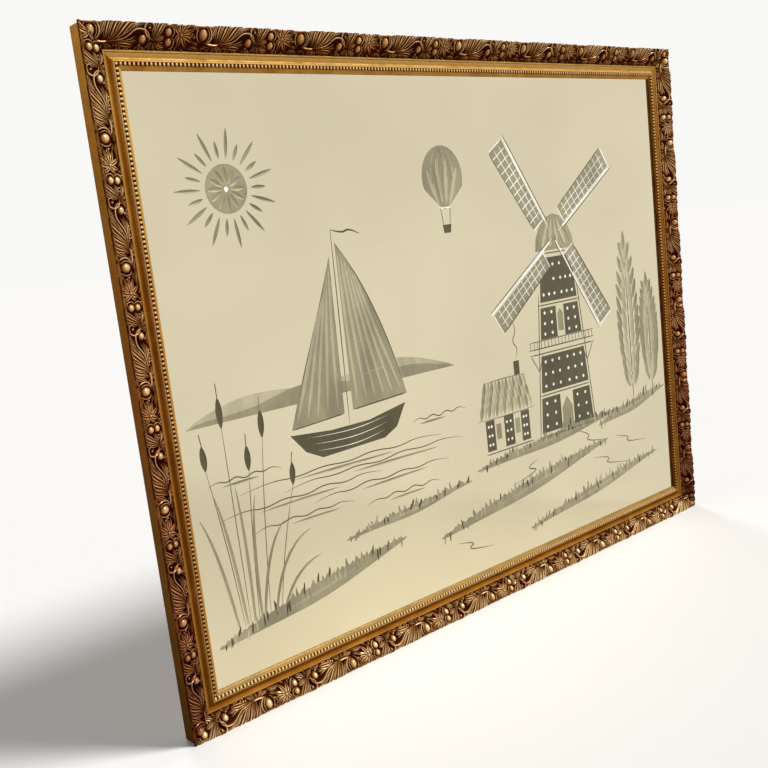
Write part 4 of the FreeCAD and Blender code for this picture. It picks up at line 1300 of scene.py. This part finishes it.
class MIRROR_OT_back(bpy.types.Operator):
    """Finish the board, its fixings and the hangers"""

    bl_idname = "mirror.back"
    bl_label = "Back and hangers"

    def execute(self, context):
        corners = [end + "_" + side for end in ("top", "bottom") for side in sides]
        dress(["backing_board"], hardboard("brown_hardboard"))
        dress(["glass_packers"], pressed_fibre("cork_slips", (0.62, 0.45, 0.28), 900))
        dress(["cushion_sheet"], pressed_fibre("grey_card", (0.72, 0.68, 0.60), 500))
        plain = steel("plain_sheet_steel", (0.50, 0.50, 0.50), 0.35)
        bright = steel("plated_fittings", (0.76, 0.75, 0.72), 0.2)
        rubber = pressed_fibre("soft_rubber", (0.05, 0.048, 0.045), 700)
        for kind, places, material in (("board_tabs_", rails, plain), ("mitre_nails_", corners, plain),
                                       ("bumper_pin_", sides, plain), ("hanger_strap_", sides, bright),
                                       ("d_ring_", sides, bright), ("hanger_screws_", sides, bright),
                                       ("wall_bumper_", sides, rubber)):
            dress([kind + place for place in places], material)
        return {"FINISHED"}


class MIRROR_OT_stage(bpy.types.Operator):
    """Lay the floor, hang the lights and set the camera"""

    bl_idname = "mirror.stage"
    bl_label = "Stage"

    def execute(self, context):
        self.lay_floor(context.scene.stage)
        self.light_room(context.scene.stage)
        self.set_camera(context.scene.stage)
        return {"FINISHED"}

    def lay_floor(self, settings):
        clear_selection()
        bpy.ops.mesh.primitive_plane_add(size=floor_size, location=(0, 0, cad_low.z))
        floor = bpy.context.object
        floor.name = "floor"
        sketch = MaterialSketch("pale_floor")
        floor.data.materials.append(sketch.finish(settings.floor, 0.9, 0.0, 0.0))

    def light_room(self, settings):
        world = bpy.data.worlds.new("soft_room")
        bpy.context.scene.world = world
        world.use_nodes = True
        sketch = NodeSketch(world.node_tree)
        light = world.node_tree.nodes["Background"]
        light.inputs["Color"].default_value = (1, 1, 1, 1)
        light.inputs["Strength"].default_value = room_strength
        shown = sketch.add("ShaderNodeBackground", Color=(*settings.backdrop, 1), Strength=1.0)
        rays = sketch.add("ShaderNodeLightPath").outputs
        direct = sketch.math("MAXIMUM", rays["Is Camera Ray"], rays["Is Glossy Ray"])
        blend = sketch.add("ShaderNodeMixShader")
        sketch.feed(blend.inputs["Fac"], sketch.math("MAXIMUM", direct, rays["Is Transmission Ray"]))
        sketch.feed(blend.inputs[1], light.outputs[0])
        sketch.feed(blend.inputs[2], shown.outputs[0])
        sketch.feed(world.node_tree.nodes["World Output"].inputs["Surface"], blend.outputs[0])
        for name, place, strength in lamps:
            lamp = bpy.data.lights.new(name, "SUN")
            lamp.energy = strength
            lamp.angle = lamp_spread
            holder = put_in_scene(bpy.data.objects.new(name, lamp))
            holder.rotation_euler = (-Vector(place)).to_track_quat("-Z", "Y").to_euler()

    def set_camera(self, settings):
        data = bpy.data.cameras.new("camera")
        data.lens = settings.lens
        data.sensor_width = 36
        data.shift_x, data.shift_y = settings.lens_shift
        camera = put_in_scene(bpy.data.objects.new("camera", data))
        forward = Vector(camera_forward).normalized()
        right = forward.cross(Vector(camera_up)).normalized()
        turn = Matrix((right, right.cross(forward), -forward)).transposed()
        camera.matrix_world = Matrix.Translation(camera_place) @ turn.to_4x4()
        bpy.context.scene.camera = camera


class MIRROR_PT_panel(bpy.types.Panel):
    """Sidebar list of the mirror's pieces"""

    bl_label = "Engraved mirror"
    bl_idname = "MIRROR_PT_panel"
    bl_space_type = "VIEW_3D"
    bl_region_type = "UI"
    bl_category = "Mirror"

    def draw(self, context):
        for operator in operators:
            self.layout.operator(operator.bl_idname)


operators = (MIRROR_OT_stage, MIRROR_OT_rails, MIRROR_OT_ornament, MIRROR_OT_pearls, MIRROR_OT_plate,
             MIRROR_OT_back)
classes = (GildingSettings, OrnamentSettings, StageSettings, *operators, MIRROR_PT_panel)


def register():
    for entry in classes:
        bpy.utils.register_class(entry)
    bpy.types.Scene.gilding = bpy.props.PointerProperty(type=GildingSettings)
    bpy.types.Scene.ornament = bpy.props.PointerProperty(type=OrnamentSettings)
    bpy.types.Scene.stage = bpy.props.PointerProperty(type=StageSettings)


def unregister():
    del bpy.types.Scene.stage
    del bpy.types.Scene.ornament
    del bpy.types.Scene.gilding
    for entry in reversed(classes):
        bpy.utils.unregister_class(entry)


def main():
    register()
    bpy.context.scene.view_settings.view_transform = "Standard"
    bpy.ops.mirror.stage()
    bpy.ops.mirror.rails()
    bpy.ops.mirror.ornament()
    bpy.ops.mirror.pearls()
    bpy.ops.mirror.plate()
    bpy.ops.mirror.back()


if __name__ == "__main__":
    main()
